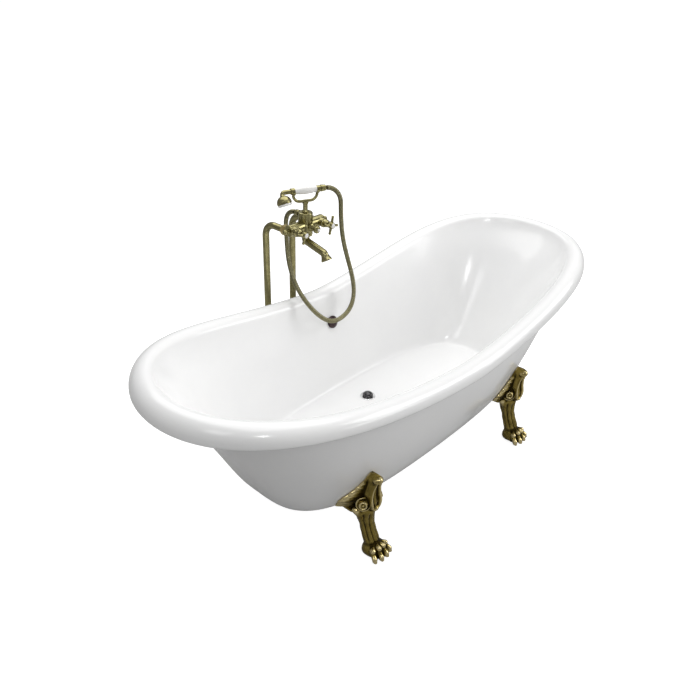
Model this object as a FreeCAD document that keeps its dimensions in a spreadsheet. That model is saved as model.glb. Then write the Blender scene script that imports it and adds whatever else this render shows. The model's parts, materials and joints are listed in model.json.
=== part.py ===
import FreeCAD, Part
import math
import os
import Sketcher
from FreeCAD import Placement, Rotation, Vector

# Clawfoot bathtub with its waste and a floor-standing bath and shower mixer.
# Millimetres, +Z up. The origin is on the floor, straight under the drain, +X runs along the
# tub and +Y points to the side where the mixer stands.

document = FreeCAD.newDocument("clawfoot_bathtub")
sheet = document.addObject("Spreadsheet::Sheet", "Sizes")

DRIVING_SIZES = [
    ("running_clearance", 0.05, "radial gap of a shaft that turns or slides in its bore"),
    ("seat_clearance", 0.3, "gap between curved faces that seat on each other"),
    ("face_gap", 0.02, "gap between flat faces of pieces of one body"),
    # tub
    ("tub_length", 1750, "over the rolled rim"),
    ("tub_width", 700, "over the rolled rim"),
    ("rim_height_middle", 510, "top of the rim at the middle of the sides"),
    ("rim_height_end", 622, "top of the rim at both ends"),
    ("rim_squareness", 4.6, "exponent of the rim's plan along the length"),
    ("rim_sweep", 1.77, "exponent of the rim's climb along the length"),
    ("rim_sweep_softness", 0.44, "exponent that rounds the climb"),
    ("roll_width", 69, "width of the rolled rim"),
    ("roll_rise", 37, "height of the roll above its widest level"),
    ("roll_drop", 14, "depth of the roll below its widest level"),
    ("roll_tilt", 0.24, "fall of the roll across its width at the ends"),
    ("shell_thickness", 6, "inner shell"),
    ("skin_thickness", 5, "outer skin"),
    ("skin_inset", 43, "from the rim's outer edge to the outer skin's top"),
    ("skin_lean_side", 0.12, "inward lean of the skin's top at the sides"),
    ("skin_lean_end", 0.92, "extra lean of the skin's top at the ends"),
    ("skin_fall", 167, "length over which the skin keeps its top lean"),
    ("skin_base_length", 1082, "flat underside"),
    ("skin_base_width", 422, "flat underside"),
    ("skin_base_reach", 42.5, "length over which the skin leaves the underside flat"),
    ("skin_base_height", 151, "underside above the floor"),
    ("base_squareness", 3.36, "exponent of the underside's and basin floor's plan"),
    ("basin_floor_height", 186, "basin floor above the floor"),
    ("basin_floor_length", 1010, "flat of the basin floor"),
    ("basin_floor_width", 360, "flat of the basin floor"),
    ("basin_floor_reach", 42, "length over which the wall leaves the basin floor flat"),
    ("basin_lean_side", 0.40, "inward lean of the wall's top at the sides"),
    ("basin_lean_end", 0.70, "extra lean of the wall's top at the ends"),
    ("basin_fall", 150, "length over which the wall keeps its top lean"),
    ("drain_from_middle_length", 8, "drain from the tub's middle along X"),
    ("drain_from_middle_width", 84, "drain from the tub's middle along Y"),
    ("base_board_length", 860, "plywood board between the shells"),
    ("base_board_width", 380, "plywood board between the shells"),
    ("base_board_corner", 60, "corner radius of the board"),
    # feet
    ("foot_spacing_length", 761, "between the feet's floor points along X"),
    ("foot_spacing_width", 588, "between the feet's floor points along Y"),
    ("foot_leaf_height", 290, "top of the foot's leaf above the floor"),
    ("foot_wing_span", 150, "across the wings that hold the tub"),
    ("foot_wing_height", 185, "widest level of the wings"),
    ("foot_knee_height", 148, "round boss of the knee"),
    ("foot_knee_width", 70, "across the knee"),
    ("foot_shank_width", 40, "thinnest part of the leg"),
    ("foot_shank_height", 91, "level of the thinnest part"),
    ("foot_knee_lean", 44, "middle of the knee behind the paw's middle"),
    ("foot_leaf_lean", 22, "middle of the leaf's top behind the paw's middle"),
    ("paw_width", 66, "across the paw"),
    ("paw_length", 84, "heel to toes"),
    ("paw_height", 40, "top of the paw"),
    ("toe_radius", 10, "each of the four toes"),
    ("foot_pad_thickness", 3, "soft pad under the paw"),
    ("foot_pad_radius", 20, "soft pad under the paw"),
    ("tongue_thickness", 8, "cast plate under the tub's base"),
    ("tongue_width", 76, "cast plate under the tub's base"),
    ("tongue_reach", 152, "from the foot's floor point to the plate's inner end"),
    ("foot_bolt_from_paw", 130, "from the foot's floor point to its bolts"),
    ("foot_bolt_spacing", 44, "between the two bolts of a foot"),
    ("foot_bolt_radius", 4, "bolt shank"),
    ("foot_bolt_head_radius", 7.5, "across the corners, halved"),
    ("foot_bolt_head_height", 5.5, "bolt head"),
    ("foot_washer_radius", 9, "washer under the head"),
    ("foot_washer_thickness", 1.6, "washer under the head"),
    ("foot_nut_radius", 8, "nut sunk in the board"),
    ("foot_nut_height", 6.5, "nut sunk in the board"),
    # waste
    ("drain_flange_radius", 26, "plate in the basin floor"),
    ("drain_flange_height", 3, "plate above the basin floor"),
    ("drain_tail_radius", 22, "threaded tail of the flange"),
    ("drain_tail_bore", 15.5, "bore of the flange"),
    ("drain_tail_length", 36, "tail below the basin floor"),
    ("drain_hub_radius", 8, "guide in the middle of the flange"),
    ("drain_hub_height", 12, "guide in the middle of the flange"),
    ("drain_spoke_width", 4, "arms that hold the guide"),
    ("drain_gasket_radius", 32, "under the basin floor"),
    ("drain_gasket_thickness", 3, "under the basin floor"),
    ("drain_body_radius", 27, "cup under the drain"),
    ("drain_body_height", 60, "cup under the drain"),
    ("drain_body_flange", 6, "top flange of the cup"),
    ("stopper_radius", 17.5, "domed stopper"),
    ("stopper_rise", 11, "height of the dome"),
    ("stopper_edge", 3, "rim of the dome"),
    ("stopper_stem_radius", 4, "stem in its guide"),
    ("stopper_stem_length", 38, "stem below the dome"),
    ("stopper_seal_thickness", 2.5, "rubber ring under the dome"),
    ("waste_tee_radius", 26, "body of the tee"),
    ("waste_tee_height", 54, "body of the tee"),
    ("waste_bore", 17, "bore of the tee and the tailpiece"),
    ("waste_tail_radius", 19, "free end of the tailpiece"),
    ("waste_tail_socket", 20, "length of the tailpiece inside the tee"),
    ("slip_nut_radius", 31, "across the corners, halved"),
    ("slip_nut_height", 14, "nut on the tee"),
    ("overflow_height", 407, "middle of the overflow above the floor"),
    ("overflow_plate_radius", 21, "cover on the overflow"),
    ("overflow_plate_height", 14, "cover on the overflow"),
    ("overflow_hole_radius", 14, "hole in the wall"),
    ("overflow_cup_radius", 19, "cup behind the wall"),
    ("overflow_cup_depth", 22, "cup behind the wall"),
    ("overflow_gasket_thickness", 2, "between the wall and the cup"),
    ("overflow_pipe_radius", 9, "pipe from the cup to the tee"),
    ("overflow_pipe_bore", 7.5, "pipe from the cup to the tee"),
    ("overflow_pipe_bend", 38, "bend radius of the pipe"),
    ("overflow_gap", 1.0, "cover plate from the curved wall"),
    ("overflow_back_gap", 0.6, "gasket from the curved wall's back"),
    ("overflow_screw_radius", 2, "screw that holds the cover to the cup"),
    # mixer
    ("tap_from_drain_length", -80, "middle of the mixer from the drain along X"),
    ("riser_from_drain_width", 341, "risers from the drain along Y"),
    ("inlet_spacing", 116, "between the two risers"),
    ("mixer_height", 760, "middle of the mixer above the floor"),
    ("mixer_reach", 120, "from the risers to the mixer's middle"),
    ("riser_radius", 11, "riser tube"),
    ("riser_bore", 9, "riser tube"),
    ("riser_bend", 42, "bend radius of the gooseneck"),
    ("supply_socket_bore", 9.6, "socket for the supply at the riser's foot"),
    ("supply_socket_depth", 20, "socket for the supply at the riser's foot"),
    ("floor_flange_radius", 32, "rose round the riser's foot"),
    ("floor_flange_height", 14, "rose round the riser's foot"),
    ("union_nut_radius", 17, "across the corners, halved"),
    ("union_nut_length", 18, "union nut"),
    ("union_washer_thickness", 2, "washer between the riser and the inlet"),
    ("inlet_length", 30, "inlet stub from the mixer's middle line"),
    ("inlet_drop", 8, "inlets below the mixer's middle line"),
    ("bar_radius", 18, "cross bar of the mixer"),
    ("bar_overhang", 16, "cross bar beyond the inlets"),
    ("cap_ball_radius", 8.5, "ball at each end of the cross bar"),
    ("barrel_radius", 23, "upright barrel of the mixer"),
    ("barrel_rise", 44, "barrel above the middle line"),
    ("barrel_drop", 30, "barrel below the middle line"),
    ("waterway_radius", 9, "bores inside the mixer"),
    ("valve_stub_length", 22, "valve stub from the middle line"),
    ("bonnet_radius", 15, "bonnet over the cartridge"),
    ("bonnet_length", 24, "bonnet over the cartridge"),
    ("spindle_radius", 5, "turning spindle"),
    ("handle_hub_radius", 11, "hub of the cross handle"),
    ("handle_hub_length", 18, "hub of the cross handle"),
    ("handle_arm_length", 26, "from the hub's middle to the ball"),
    ("handle_arm_radius", 3.6, "arm beside its ball"),
    ("handle_ball_radius", 4.6, "ball at the arm's end"),
    ("handle_rest_turn", 14, "degrees between an arm and the upright"),
    ("index_radius", 7.5, "porcelain button on the hub"),
    ("index_height", 3, "porcelain button on the hub"),
    ("diverter_bonnet_length", 16, "bonnet of the diverter"),
    ("diverter_knob_radius", 12, "diverter knob"),
    ("diverter_knob_length", 16, "diverter knob"),
    ("diverter_spindle_radius", 3.5, "diverter spindle"),
    ("diverter_tip_radius", 4.5, "porcelain tip"),
    ("spout_radius", 12, "spout tube"),
    ("spout_bore", 9.5, "spout tube"),
    ("spout_bend", 14.5, "bend radius of the spout"),
    ("spout_reach", 82, "from the mixer's middle to the last bend"),
    ("spout_drop", 49, "first bend below the mixer's middle line"),
    ("spout_fall", 19, "fall from the first bend to the last"),
    ("spout_bell_radius", 17, "outlet bell"),
    ("spout_bell_length", 18, "outlet bell"),
    ("spout_outlet_tilt", 30, "degrees that the outlet turns forward from straight down"),
    ("spout_collar_radius", 17, "collar under the mixer"),
    ("spout_collar_length", 7, "collar under the mixer"),
    ("straightener_length", 6, "flow straightener in the bell"),
    ("post_radius", 7.5, "post of the cradle"),
    ("post_length", 30, "post of the cradle"),
    ("cradle_bar_radius", 4.5, "bent bar of the cradle"),
    ("cradle_turn", 23, "degrees that the handset's hose end turns towards the basin"),
    ("cradle_bend", 26, "bend radius of the bar"),
    ("cradle_depth", 34, "handset's axis above the bar"),
    ("saddle_wall", 3.5, "saddle under the grip"),
    ("saddle_width", 8, "saddle along the grip"),
    # handset and hose
    ("grip_length", 70, "porcelain grip"),
    ("grip_end_radius", 9.5, "porcelain grip"),
    ("grip_middle_radius", 12, "porcelain grip"),
    ("grip_bore", 4.5, "water tube through the grip"),
    ("ferrule_length", 14, "brass sleeve at each end of the grip, held by a saddle"),
    ("handset_neck_radius", 7, "neck of the head"),
    ("handset_neck_bend", 9, "bend radius of the neck"),
    ("handset_neck_length", 42, "neck from the grip to its bend point"),
    ("handset_head_radius", 22, "bell of the head"),
    ("handset_head_length", 24, "bell of the head"),
    ("handset_head_drop", 9, "from the neck's bend point to the bell"),
    ("handset_head_pitch", 25, "degrees that the face turns forward from straight down"),
    ("handset_head_lean", 8, "degrees that the face turns towards the grip"),
    ("spray_face_radius", 21.5, "pale ring round the jets"),
    ("spray_face_thickness", 6, "pale ring round the jets"),
    ("spray_plug_radius", 18, "part of the spray face inside the bell"),
    ("spray_plug_depth", 5, "part of the spray face inside the bell"),
    ("spray_hole_radius", 0.8, "one jet"),
    ("handset_tail_length", 20, "brass tail of the grip"),
    ("hose_nut_radius", 10.5, "hose nut"),
    ("hose_nut_length", 16, "hose nut"),
    ("hose_washer_thickness", 1.5, "washer in the hose nut"),
    ("hose_radius", 7.5, "ribbed hose over its ribs"),
    ("hose_rib_depth", 0.9, "groove between two ribs"),
    ("hose_bore", 4.5, "ribbed hose"),
]


class Term:
    """A length with its value and the sheet expression that it comes from."""

    def __init__(self, text, value):
        self.text = text
        self.value = value

    def __float__(self):
        return self.value

    def __add__(self, other):
        other = term(other)
        return Term("(%s + %s)" % (self.text, other.text), self.value + other.value)

    def __sub__(self, other):
        other = term(other)
        return Term("(%s - %s)" % (self.text, other.text), self.value - other.value)

    def __mul__(self, other):
        other = term(other)
        return Term("(%s * %s)" % (self.text, other.text), self.value * other.value)

    def __truediv__(self, other):
        other = term(other)
        return Term("(%s / %s)" % (self.text, other.text), self.value / other.value)

    def __neg__(self):
        return Term("(0 - %s)" % self.text, -self.value)

    def __radd__(self, other):
        return term(other) + self

    def __rsub__(self, other):
        return term(other) - self

    def __rmul__(self, other):
        return term(other) * self


def term(value):
    return value if isinstance(value, Term) else Term(repr(float(value)), float(value))


class Sizes:
    """Each driving size as an attribute."""


size = Sizes()
for row, (alias, value, note) in enumerate(DRIVING_SIZES, 1):
    sheet.set("A%d" % row, note)
    sheet.set("B%d" % row, str(value))
    sheet.setAlias("B%d" % row, alias)
    setattr(size, alias, Term("Sizes." + alias, float(value)))
document.recompute()

UP = Vector(0, 0, 1)
DOWN = Vector(0, 0, -1)
FRONT = Vector(0, -1, 0)
BACK = Vector(0, 1, 0)
LEFT = Vector(-1, 0, 0)
RIGHT = Vector(1, 0, 0)

nodes = []


def bind(item, path, value):
    """Ties one property to the sheet."""
    value = term(value)
    item.setExpression(path, value.text)
    return value.value


def place(item, base, direction=UP):
    """Puts an object's own +Z along direction, with its base point tied to the sheet."""
    values = [float(term(coordinate)) for coordinate in base]
    item.Placement = Placement(Vector(*values), Rotation(UP, direction))
    for axis, coordinate in zip("xyz", base):
        bind(item, "Placement.Base." + axis, coordinate)


def node(item, label):
    """Names a sub-part."""
    item.Label = label
    nodes.append(item)
    return item


def settled(shape):
    """The shape with its own placement worked into its geometry."""
    moved = shape.copy()
    moved.Placement = Placement()
    moved.transformShape(shape.Placement.toMatrix(), True)
    return moved


def feature(label, shape, base=(0, 0, 0), direction=UP):
    """A sub-part whose shape is worked out here, in its own frame."""
    item = document.addObject("Part::Feature", label)
    item.Shape = settled(shape)
    place(item, base, direction)
    return node(item, label)


def origin_plane(body, role):
    return [plane for plane in body.Origin.OriginFeatures if plane.Role == role][0]


def outline(sketch, points):
    """A closed line of (across, along) corners, each tied to the sheet."""
    corners = [(term(across), term(along)) for across, along in points]
    for start, end in zip(corners, corners[1:] + corners[:1]):
        ends = [Vector(float(point[0]), float(point[1]), 0) for point in (start, end)]
        sketch.addGeometry(Part.LineSegment(*ends), False)
    for index, corner in enumerate(corners):
        following = (index + 1) % len(corners)
        sketch.addConstraint(Sketcher.Constraint("Coincident", index, 2, following, 1))
        for kind, coordinate in zip(("DistanceX", "DistanceY"), corner):
            rule = Sketcher.Constraint(kind, -1, 1, index, 1, float(coordinate))
            bind(sketch, "Constraints[%d]" % sketch.addConstraint(rule), coordinate)


def turned(label, points, base, direction=UP):
    """A lathe-turned sub-part: (radius, height) corners spun about its own +Z."""
    body = document.addObject("PartDesign::Body", label)
    sketch = body.newObject("Sketcher::SketchObject", label + "_outline")
    sketch.AttachmentSupport = (origin_plane(body, "XZ_Plane"), [""])
    sketch.MapMode = "FlatFace"
    outline(sketch, points)
    spin = body.newObject("PartDesign::Revolution", label + "_spin")
    spin.Profile = sketch
    spin.ReferenceAxis = (sketch, ["V_Axis"])
    spin.Angle = 360.0
    place(body, base, direction)
    return node(body, label)


def ring(label, outer, inner, height, base, direction=UP):
    """A washer, gasket or plain tube."""
    return turned(label, [(inner, 0), (outer, 0), (outer, height), (inner, height)], base, direction)


def cylinder(radius, height, base=(0, 0, 0), direction=UP):
    item = document.addObject("Part::Cylinder", "cylinder")
    item.Radius = bind(item, "Radius", radius)
    item.Height = bind(item, "Height", height)
    place(item, base, direction)
    return item


def hexagon(radius, height, base=(0, 0, 0), direction=UP):
    item = document.addObject("Part::Prism", "hexagon")
    item.Polygon = 6
    item.Circumradius = bind(item, "Circumradius", radius)
    item.Height = bind(item, "Height", height)
    place(item, base, direction)
    return item


def cut(base, tool, name="cut"):
    item = document.addObject("Part::Cut", name)
    item.Base = base
    item.Tool = tool
    return item


def group(label, items):
    """Identical small pieces that share one node, each a solid of its own."""
    item = document.addObject("Part::Compound", label)
    item.Links = items
    return node(item, label)


def nut(radius, bore, height, base, direction=UP):
    return cut(hexagon(radius, height, base, direction), cylinder(bore, height, base, direction), "nut")


def washer(radius, bore, height, base, direction=UP):
    return cut(cylinder(radius, height, base, direction), cylinder(bore, height, base, direction), "washer")


def lathe(steps):
    """Spins a closed outline about Z. A step is (radius, height), or (middle, end) for an arc."""
    edges = []
    last = None
    for step in steps + [steps[0]]:
        curved = isinstance(step[0], tuple)
        target = step[1] if curved else step
        end = Vector(float(target[0]), 0, float(target[1]))
        if last is not None and curved:
            middle = Vector(float(step[0][0]), 0, float(step[0][1]))
            edges.append(Part.Arc(last, middle, end).toBSpline().toShape())
        elif last is not None and last.distanceToPoint(end) > 1e-6:
            edges.append(Part.LineSegment(last, end).toShape())
        last = end
    return Part.Face(Part.Wire(edges)).revolve(Vector(0, 0, 0), UP, 360)


def rounded_path(points, bend):
    """Straight runs through the points, joined by tangent arcs of one radius, or, with bend
    None, by arcs as large as 0.45 of the shorter run allows. Also returns the radii."""
    points = [Vector(point) for point in points]
    edges = []
    radii = []
    last = points[0]
    for before, corner, after in zip(points, points[1:], points[2:]):
        arriving = (corner - before).normalize()
        leaving = (after - corner).normalize()
        half_turn = arriving.getAngle(leaving) / 2
        shorter = min(before.distanceToPoint(corner), corner.distanceToPoint(after))
        radius = float(bend) if bend else 0.45 * shorter / math.tan(half_turn)
        setback = radius * math.tan(half_turn)
        entry = corner - arriving * setback
        leave = corner + leaving * setback
        inward = (leaving - arriving).normalize()
        centre = corner + inward * (radius / math.cos(half_turn))
        if last.distanceToPoint(entry) > 1e-6:
            edges.append(Part.LineSegment(last, entry).toShape())
        edges.append(Part.Arc(entry, centre - inward * radius, leave).toShape())
        radii.append(radius)
        last = leave
    edges.append(Part.LineSegment(last, points[-1]).toShape())
    return Part.Wire(edges), radii


def rod(path, radius):
    """A round bar along a path."""
    start = path.Edges[0]
    tangent = start.tangentAt(start.FirstParameter)
    section = Part.Wire(Part.makeCircle(float(radius), start.valueAt(start.FirstParameter), tangent))
    return path.makePipeShell([section], True, False)


def tube(path, radius, bore):
    return rod(path, radius).cut(rod(path, bore))


# ---- tub: sheets worked out from one outline each for the rim, the base and the basin floor ----

SECTIONS = 64
tub_base = (-size.drain_from_middle_length, -size.drain_from_middle_width, 0)


def rim_point(angle):
    """The rim's outer edge: x, y and its outward normal."""
    length = float(size.tub_length) / 2
    width = float(size.tub_width) / 2
    power = float(size.rim_squareness)
    across, along = math.cos(angle), math.sin(angle)
    scale = 1.0
    for _ in range(30):
        gap = abs(scale * across) ** power + (scale * along) ** 2 - 1
        slope = power * abs(across) ** power * scale ** (power - 1) + 2 * along * along * scale
        scale -= gap / slope
    x = length * scale * across
    y = width * scale * along
    steep = power * abs(x / length) ** (power - 1) / length
    normal = Vector(math.copysign(steep, x), 2 * y / width ** 2, 0).normalize()
    return x, y, normal


def flat_point(angle, length, width):
    """The edge of the underside or of the basin floor, with its outward normal."""
    power = float(size.base_squareness)
    across, along = math.cos(angle), math.sin(angle)
    scale = (abs(across) ** power + abs(along) ** power) ** (-1 / power)
    x = length / 2 * scale * across
    y = width / 2 * scale * along
    steep = (abs(2 * x / length) ** (power - 1) / length, abs(2 * y / width) ** (power - 1) / width)
    return x, y, Vector(math.copysign(steep[0], x), math.copysign(steep[1], y), 0).normalize()


def rim_height(x):
    share = min(1.0, abs(x) / (float(size.tub_length) / 2))
    swing = (1 - math.cos(math.pi * share ** float(size.rim_sweep))) / 2
    climb = swing ** float(size.rim_sweep_softness)
    return float(size.rim_height_middle) + (size.rim_height_end - size.rim_height_middle).value * climb


def bezier(points, share):
    rest = 1 - share
    weights = (rest ** 3, 3 * rest ** 2 * share, 3 * rest * share ** 2, share ** 3)
    total = Vector(0, 0, 0)
    for point, weight in zip(points, weights):
        total += point * weight
    return total


def wall_curve(top, foot, normal, foot_normal, lean, fall, reach):
    """Control points of a wall that leaves the flat level and reaches the rim leaning."""
    return [foot, foot + foot_normal * float(reach), top + (DOWN - normal * lean) * float(fall), top]


def skin_rows(outward):
    """Rows of the outer skin from its flat underside to its top, moved outward."""
    columns = []
    base_length = float(size.skin_base_length)
    base_width = float(size.skin_base_width)
    below_rim = float(size.roll_rise + size.roll_drop + size.seat_clearance)
    for index in range(SECTIONS):
        angle = 2 * math.pi * index / SECTIONS
        x, y, normal = rim_point(angle)
        foot_x, foot_y, foot_normal = flat_point(angle, base_length, base_width)
        top = Vector(x, y, rim_height(x) - below_rim)
        top -= normal * float(size.skin_inset)
        foot = Vector(foot_x, foot_y, float(size.skin_base_height))
        lean = float(size.skin_lean_side) + float(size.skin_lean_end) * abs(normal.x)
        curve = wall_curve(top, foot, normal, foot_normal, lean, size.skin_fall, size.skin_base_reach)
        columns.append([bezier(curve, step / 16) for step in range(17)])
    rows = [list(row) for row in zip(*columns)]
    facing = normals(rows, 1)
    facing[0] = [DOWN] * SECTIONS
    return [[point + away * outward for point, away in zip(row, aways)]
            for row, aways in zip(rows, facing)]


def basin_rows():
    """Rows of the inner shell from the basin floor, up the wall and round the rolled rim."""
    columns = []
    half = float(size.roll_width) / 2
    floor_length = float(size.basin_floor_length)
    floor_width = float(size.basin_floor_width)
    inner_lip = float(size.skin_inset + size.skin_thickness) - half
    for index in range(SECTIONS):
        angle = 2 * math.pi * index / SECTIONS
        x, y, normal = rim_point(angle)
        tilt = float(size.roll_tilt) * abs(normal.x)
        level = rim_height(x) - float(size.roll_rise)
        foot_x, foot_y, foot_normal = flat_point(angle, floor_length, floor_width)
        foot = Vector(foot_x, foot_y, float(size.basin_floor_height))
        top = Vector(x, y, level + half * tilt) - normal * 2 * half
        lean = float(size.basin_lean_side) + float(size.basin_lean_end) * abs(normal.x)
        curve = wall_curve(top, foot, normal, foot_normal, lean, size.basin_fall, size.basin_floor_reach)
        column = [bezier(curve, step / 13) for step in range(13)]
        for step in range(17):
            turn = math.pi - math.pi * 1.5 * step / 16
            inset = half - half * math.cos(turn)
            rise = float(size.roll_rise) if turn > 0 else float(size.roll_drop)
            height = level + rise * math.sin(turn) - (half - inset) * tilt
            column.append(Vector(x, y, height) - normal * inset)
        column.append(column[-1] - normal * inner_lip * 0.6)
        column.append(column[-2] - normal * inner_lip)
        columns.append(column)
    return [list(row) for row in zip(*columns)]


def normals(rows, sign):
    """Unit normals of a closed band of rows."""
    result = []
    for level, row in enumerate(rows):
        above = rows[min(level + 1, len(rows) - 1)]
        below = rows[max(level - 1, 0)]
        line = []
        for index in range(len(row)):
            around = row[(index + 1) % len(row)] - row[index - 1]
            upward = above[index] - below[index]
            line.append(around.cross(upward).normalize() * sign)
        result.append(line)
    return result


def band(rows):
    """A smooth surface through the rows, closed round the tub, with its two flat lids."""
    def eased(before, point, after):
        return point + (point - (before + point * 4 + after) * (1 / 6))

    turns = len(rows[0])
    around = [[eased(row[index - 1], row[index], row[(index + 1) % turns]) for index in range(turns)]
              for row in rows]
    poles = [list(row) for row in around]
    for level in range(2, len(rows) - 2):
        for index in range(turns):
            below, point, above = [around[level + step][index] for step in (-1, 0, 1)]
            poles[level][index] = eased(below, point, above)
    grid = [list(column) for column in zip(*poles)]
    spans = len(grid[0]) - 3
    surface = Part.BSplineSurface()
    surface.buildFromPolesMultsKnots(
        grid,
        [1] * (turns + 1),
        [4] + [1] * (spans - 1) + [4],
        list(range(turns + 1)),
        list(range(spans + 1)),
        True,
        False,
        3,
        3,
    )
    lids = [Part.Face(Part.Wire(surface.vIso(level).toShape())) for level in (0, spans)]
    shell = Part.Shell([surface.toShape()] + lids)
    shell.sewShape()
    solid = Part.Solid(shell)
    if solid.Volume < 0:
        solid.reverse()
    return solid


def sheet_band(rows, thickness, sign):
    """A sheet of one thickness behind the rows, with its flat bottom closed."""
    away = normals(rows, sign)
    away[0] = [UP * sign * -1] * len(rows[0])
    back = [[point - side * thickness for point, side in zip(row, sides)]
            for row, sides in zip(rows, away)]
    lip = [(near + far) * 0.5 + (near - inside).normalize() * (thickness / 2)
           for near, far, inside in zip(rows[-1], back[-1], rows[-2])]
    return band(rows + [lip] + back[::-1])


def wall_at(rows, height, sign):
    """A wall's point and its normal at a height, in line with the drain on the far side."""
    middle = SECTIONS // 4
    column = [(row[middle], side[middle]) for row, side in zip(rows, normals(rows, sign))]
    for (low, low_side), (high, high_side) in zip(column, column[1:]):
        if low.z <= height <= high.z:
            share = (height - low.z) / (high.z - low.z)
            return low + (high - low) * share, (low_side + (high_side - low_side) * share).normalize()
    return column[-1]


basin_wall = basin_rows()[:13]
drain_in_tub = Vector(float(size.drain_from_middle_length), float(size.drain_from_middle_width), 0)
overflow_point, overflow_normal = wall_at(basin_wall, float(size.overflow_height), -1)
overflow_point = Vector(0, overflow_point.y - drain_in_tub.y, overflow_point.z)


def between_walls(share):
    """Middle of the cavity at a share of the height from the basin floor to the overflow."""
    floor = float(size.basin_floor_height)
    height = floor + (float(size.overflow_height) - floor) * share
    near = wall_at(basin_wall, height, -1)[0].y + float(size.shell_thickness)
    far = wall_at(skin_rows(0), height, 1)[0].y - float(size.skin_thickness)
    return Vector(0, (near + far) / 2 - drain_in_tub.y, height)


pipe_bends = [between_walls(share) for share in (0.52, 0.25, 0.09)]
access_radius = size.drain_gasket_radius + 10
slot_half_width = float(size.overflow_pipe_radius) + 5
slot_end = pipe_bends[-1].y + 6
slot_top = float(size.basin_floor_height) + 10


def access_opening():
    """The round opening under the drain and the slot for the overflow pipe, in the tub's frame."""
    depth = slot_top - float(size.skin_base_height) + 20
    low = float(size.skin_base_height) - 20
    well = Part.makeCylinder(float(access_radius), depth, drain_in_tub + UP * low)
    slot = Part.makeBox(2 * slot_half_width, slot_end, depth,
                        drain_in_tub + Vector(-slot_half_width, 0, low))
    return well.fuse(slot)


inner_shell = sheet_band(basin_rows(), float(size.shell_thickness), -1)
HOLE = 60
drain_hole = Part.makeCylinder(float(size.drain_tail_radius + size.seat_clearance), HOLE,
                               drain_in_tub + UP * (float(size.basin_floor_height) - HOLE / 2))
overflow_start = drain_in_tub + overflow_point + overflow_normal * (HOLE / 2)
overflow_hole = Part.makeCylinder(float(size.overflow_hole_radius), HOLE, overflow_start,
                                  overflow_normal * -1)
feature("tub_shell", inner_shell.cut(drain_hole).cut(overflow_hole), tub_base)

outer_skin = sheet_band(skin_rows(0), float(size.skin_thickness), 1)
board_low = size.skin_base_height + size.skin_thickness
board_height = size.basin_floor_height - size.shell_thickness - board_low
bolt_places = []
for side_x in (-1, 1):
    for side_y in (-1, 1):
        for step in (-0.5, 0.5):
            bolt_x = size.foot_spacing_length / 2 * side_x + size.foot_bolt_spacing * step
            bolt_y = (size.foot_spacing_width / 2 - size.foot_bolt_from_paw) * side_y
            bolt_places.append((bolt_x + tub_base[0], bolt_y + tub_base[1]))


def bolt_cutter(radius, low, high):
    """Upright holes at every foot bolt, in the row's frame."""
    holes = [Part.makeCylinder(radius, high - low, Vector(float(x), float(y), low)) for x, y in bolt_places]
    return Part.makeCompound(holes)


to_row = Vector(float(tub_base[0]), float(tub_base[1]), 0)
bolt_hole_radius = float(size.foot_bolt_radius + size.seat_clearance)
board_high = float(board_low + board_height)
holes_in_tub = bolt_cutter(bolt_hole_radius, 0, board_high + 1)
holes_in_tub.translate(to_row * -1)
feature("outer_skin", outer_skin.cut(access_opening()).cut(holes_in_tub), tub_base)

board_half = Vector(float(size.base_board_length) / 2, float(size.base_board_width) / 2, 0)
board = Part.makeBox(2 * board_half.x, 2 * board_half.y, float(board_height),
                     UP * float(board_low) - board_half)
board = board.makeFillet(float(size.base_board_corner), [
    edge for edge in board.Edges if abs(edge.tangentAt(edge.FirstParameter).z) > 0.9])
nut_pockets = bolt_cutter(float(size.foot_nut_radius + size.seat_clearance),
                          board_high - float(size.foot_nut_height), board_high + 1)
nut_pockets.translate(to_row * -1)
feature("base_board", board.cut(access_opening()).cut(holes_in_tub).cut(nut_pockets), tub_base)

# ---- claw feet ----

foot_centre = Vector(float(size.foot_spacing_length) / 2, float(size.foot_spacing_width) / 2, 0)
tub_outside = band(skin_rows(float(size.seat_clearance)) + [
    [Vector(point.x, point.y, 300 + float(size.rim_height_end)) for point in skin_rows(0)[-1]]])


LEG_SECTIONS = 24


def leg_section(outset, height, width, depth):
    """One level cross-section of the leg, outset from the foot's floor point."""
    turns = [2 * math.pi * step / LEG_SECTIONS for step in range(LEG_SECTIONS)]
    return [foot_centre + Vector(width / 2 * math.cos(turn), outset + depth / 2 * math.sin(turn), height)
            for turn in turns]


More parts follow.
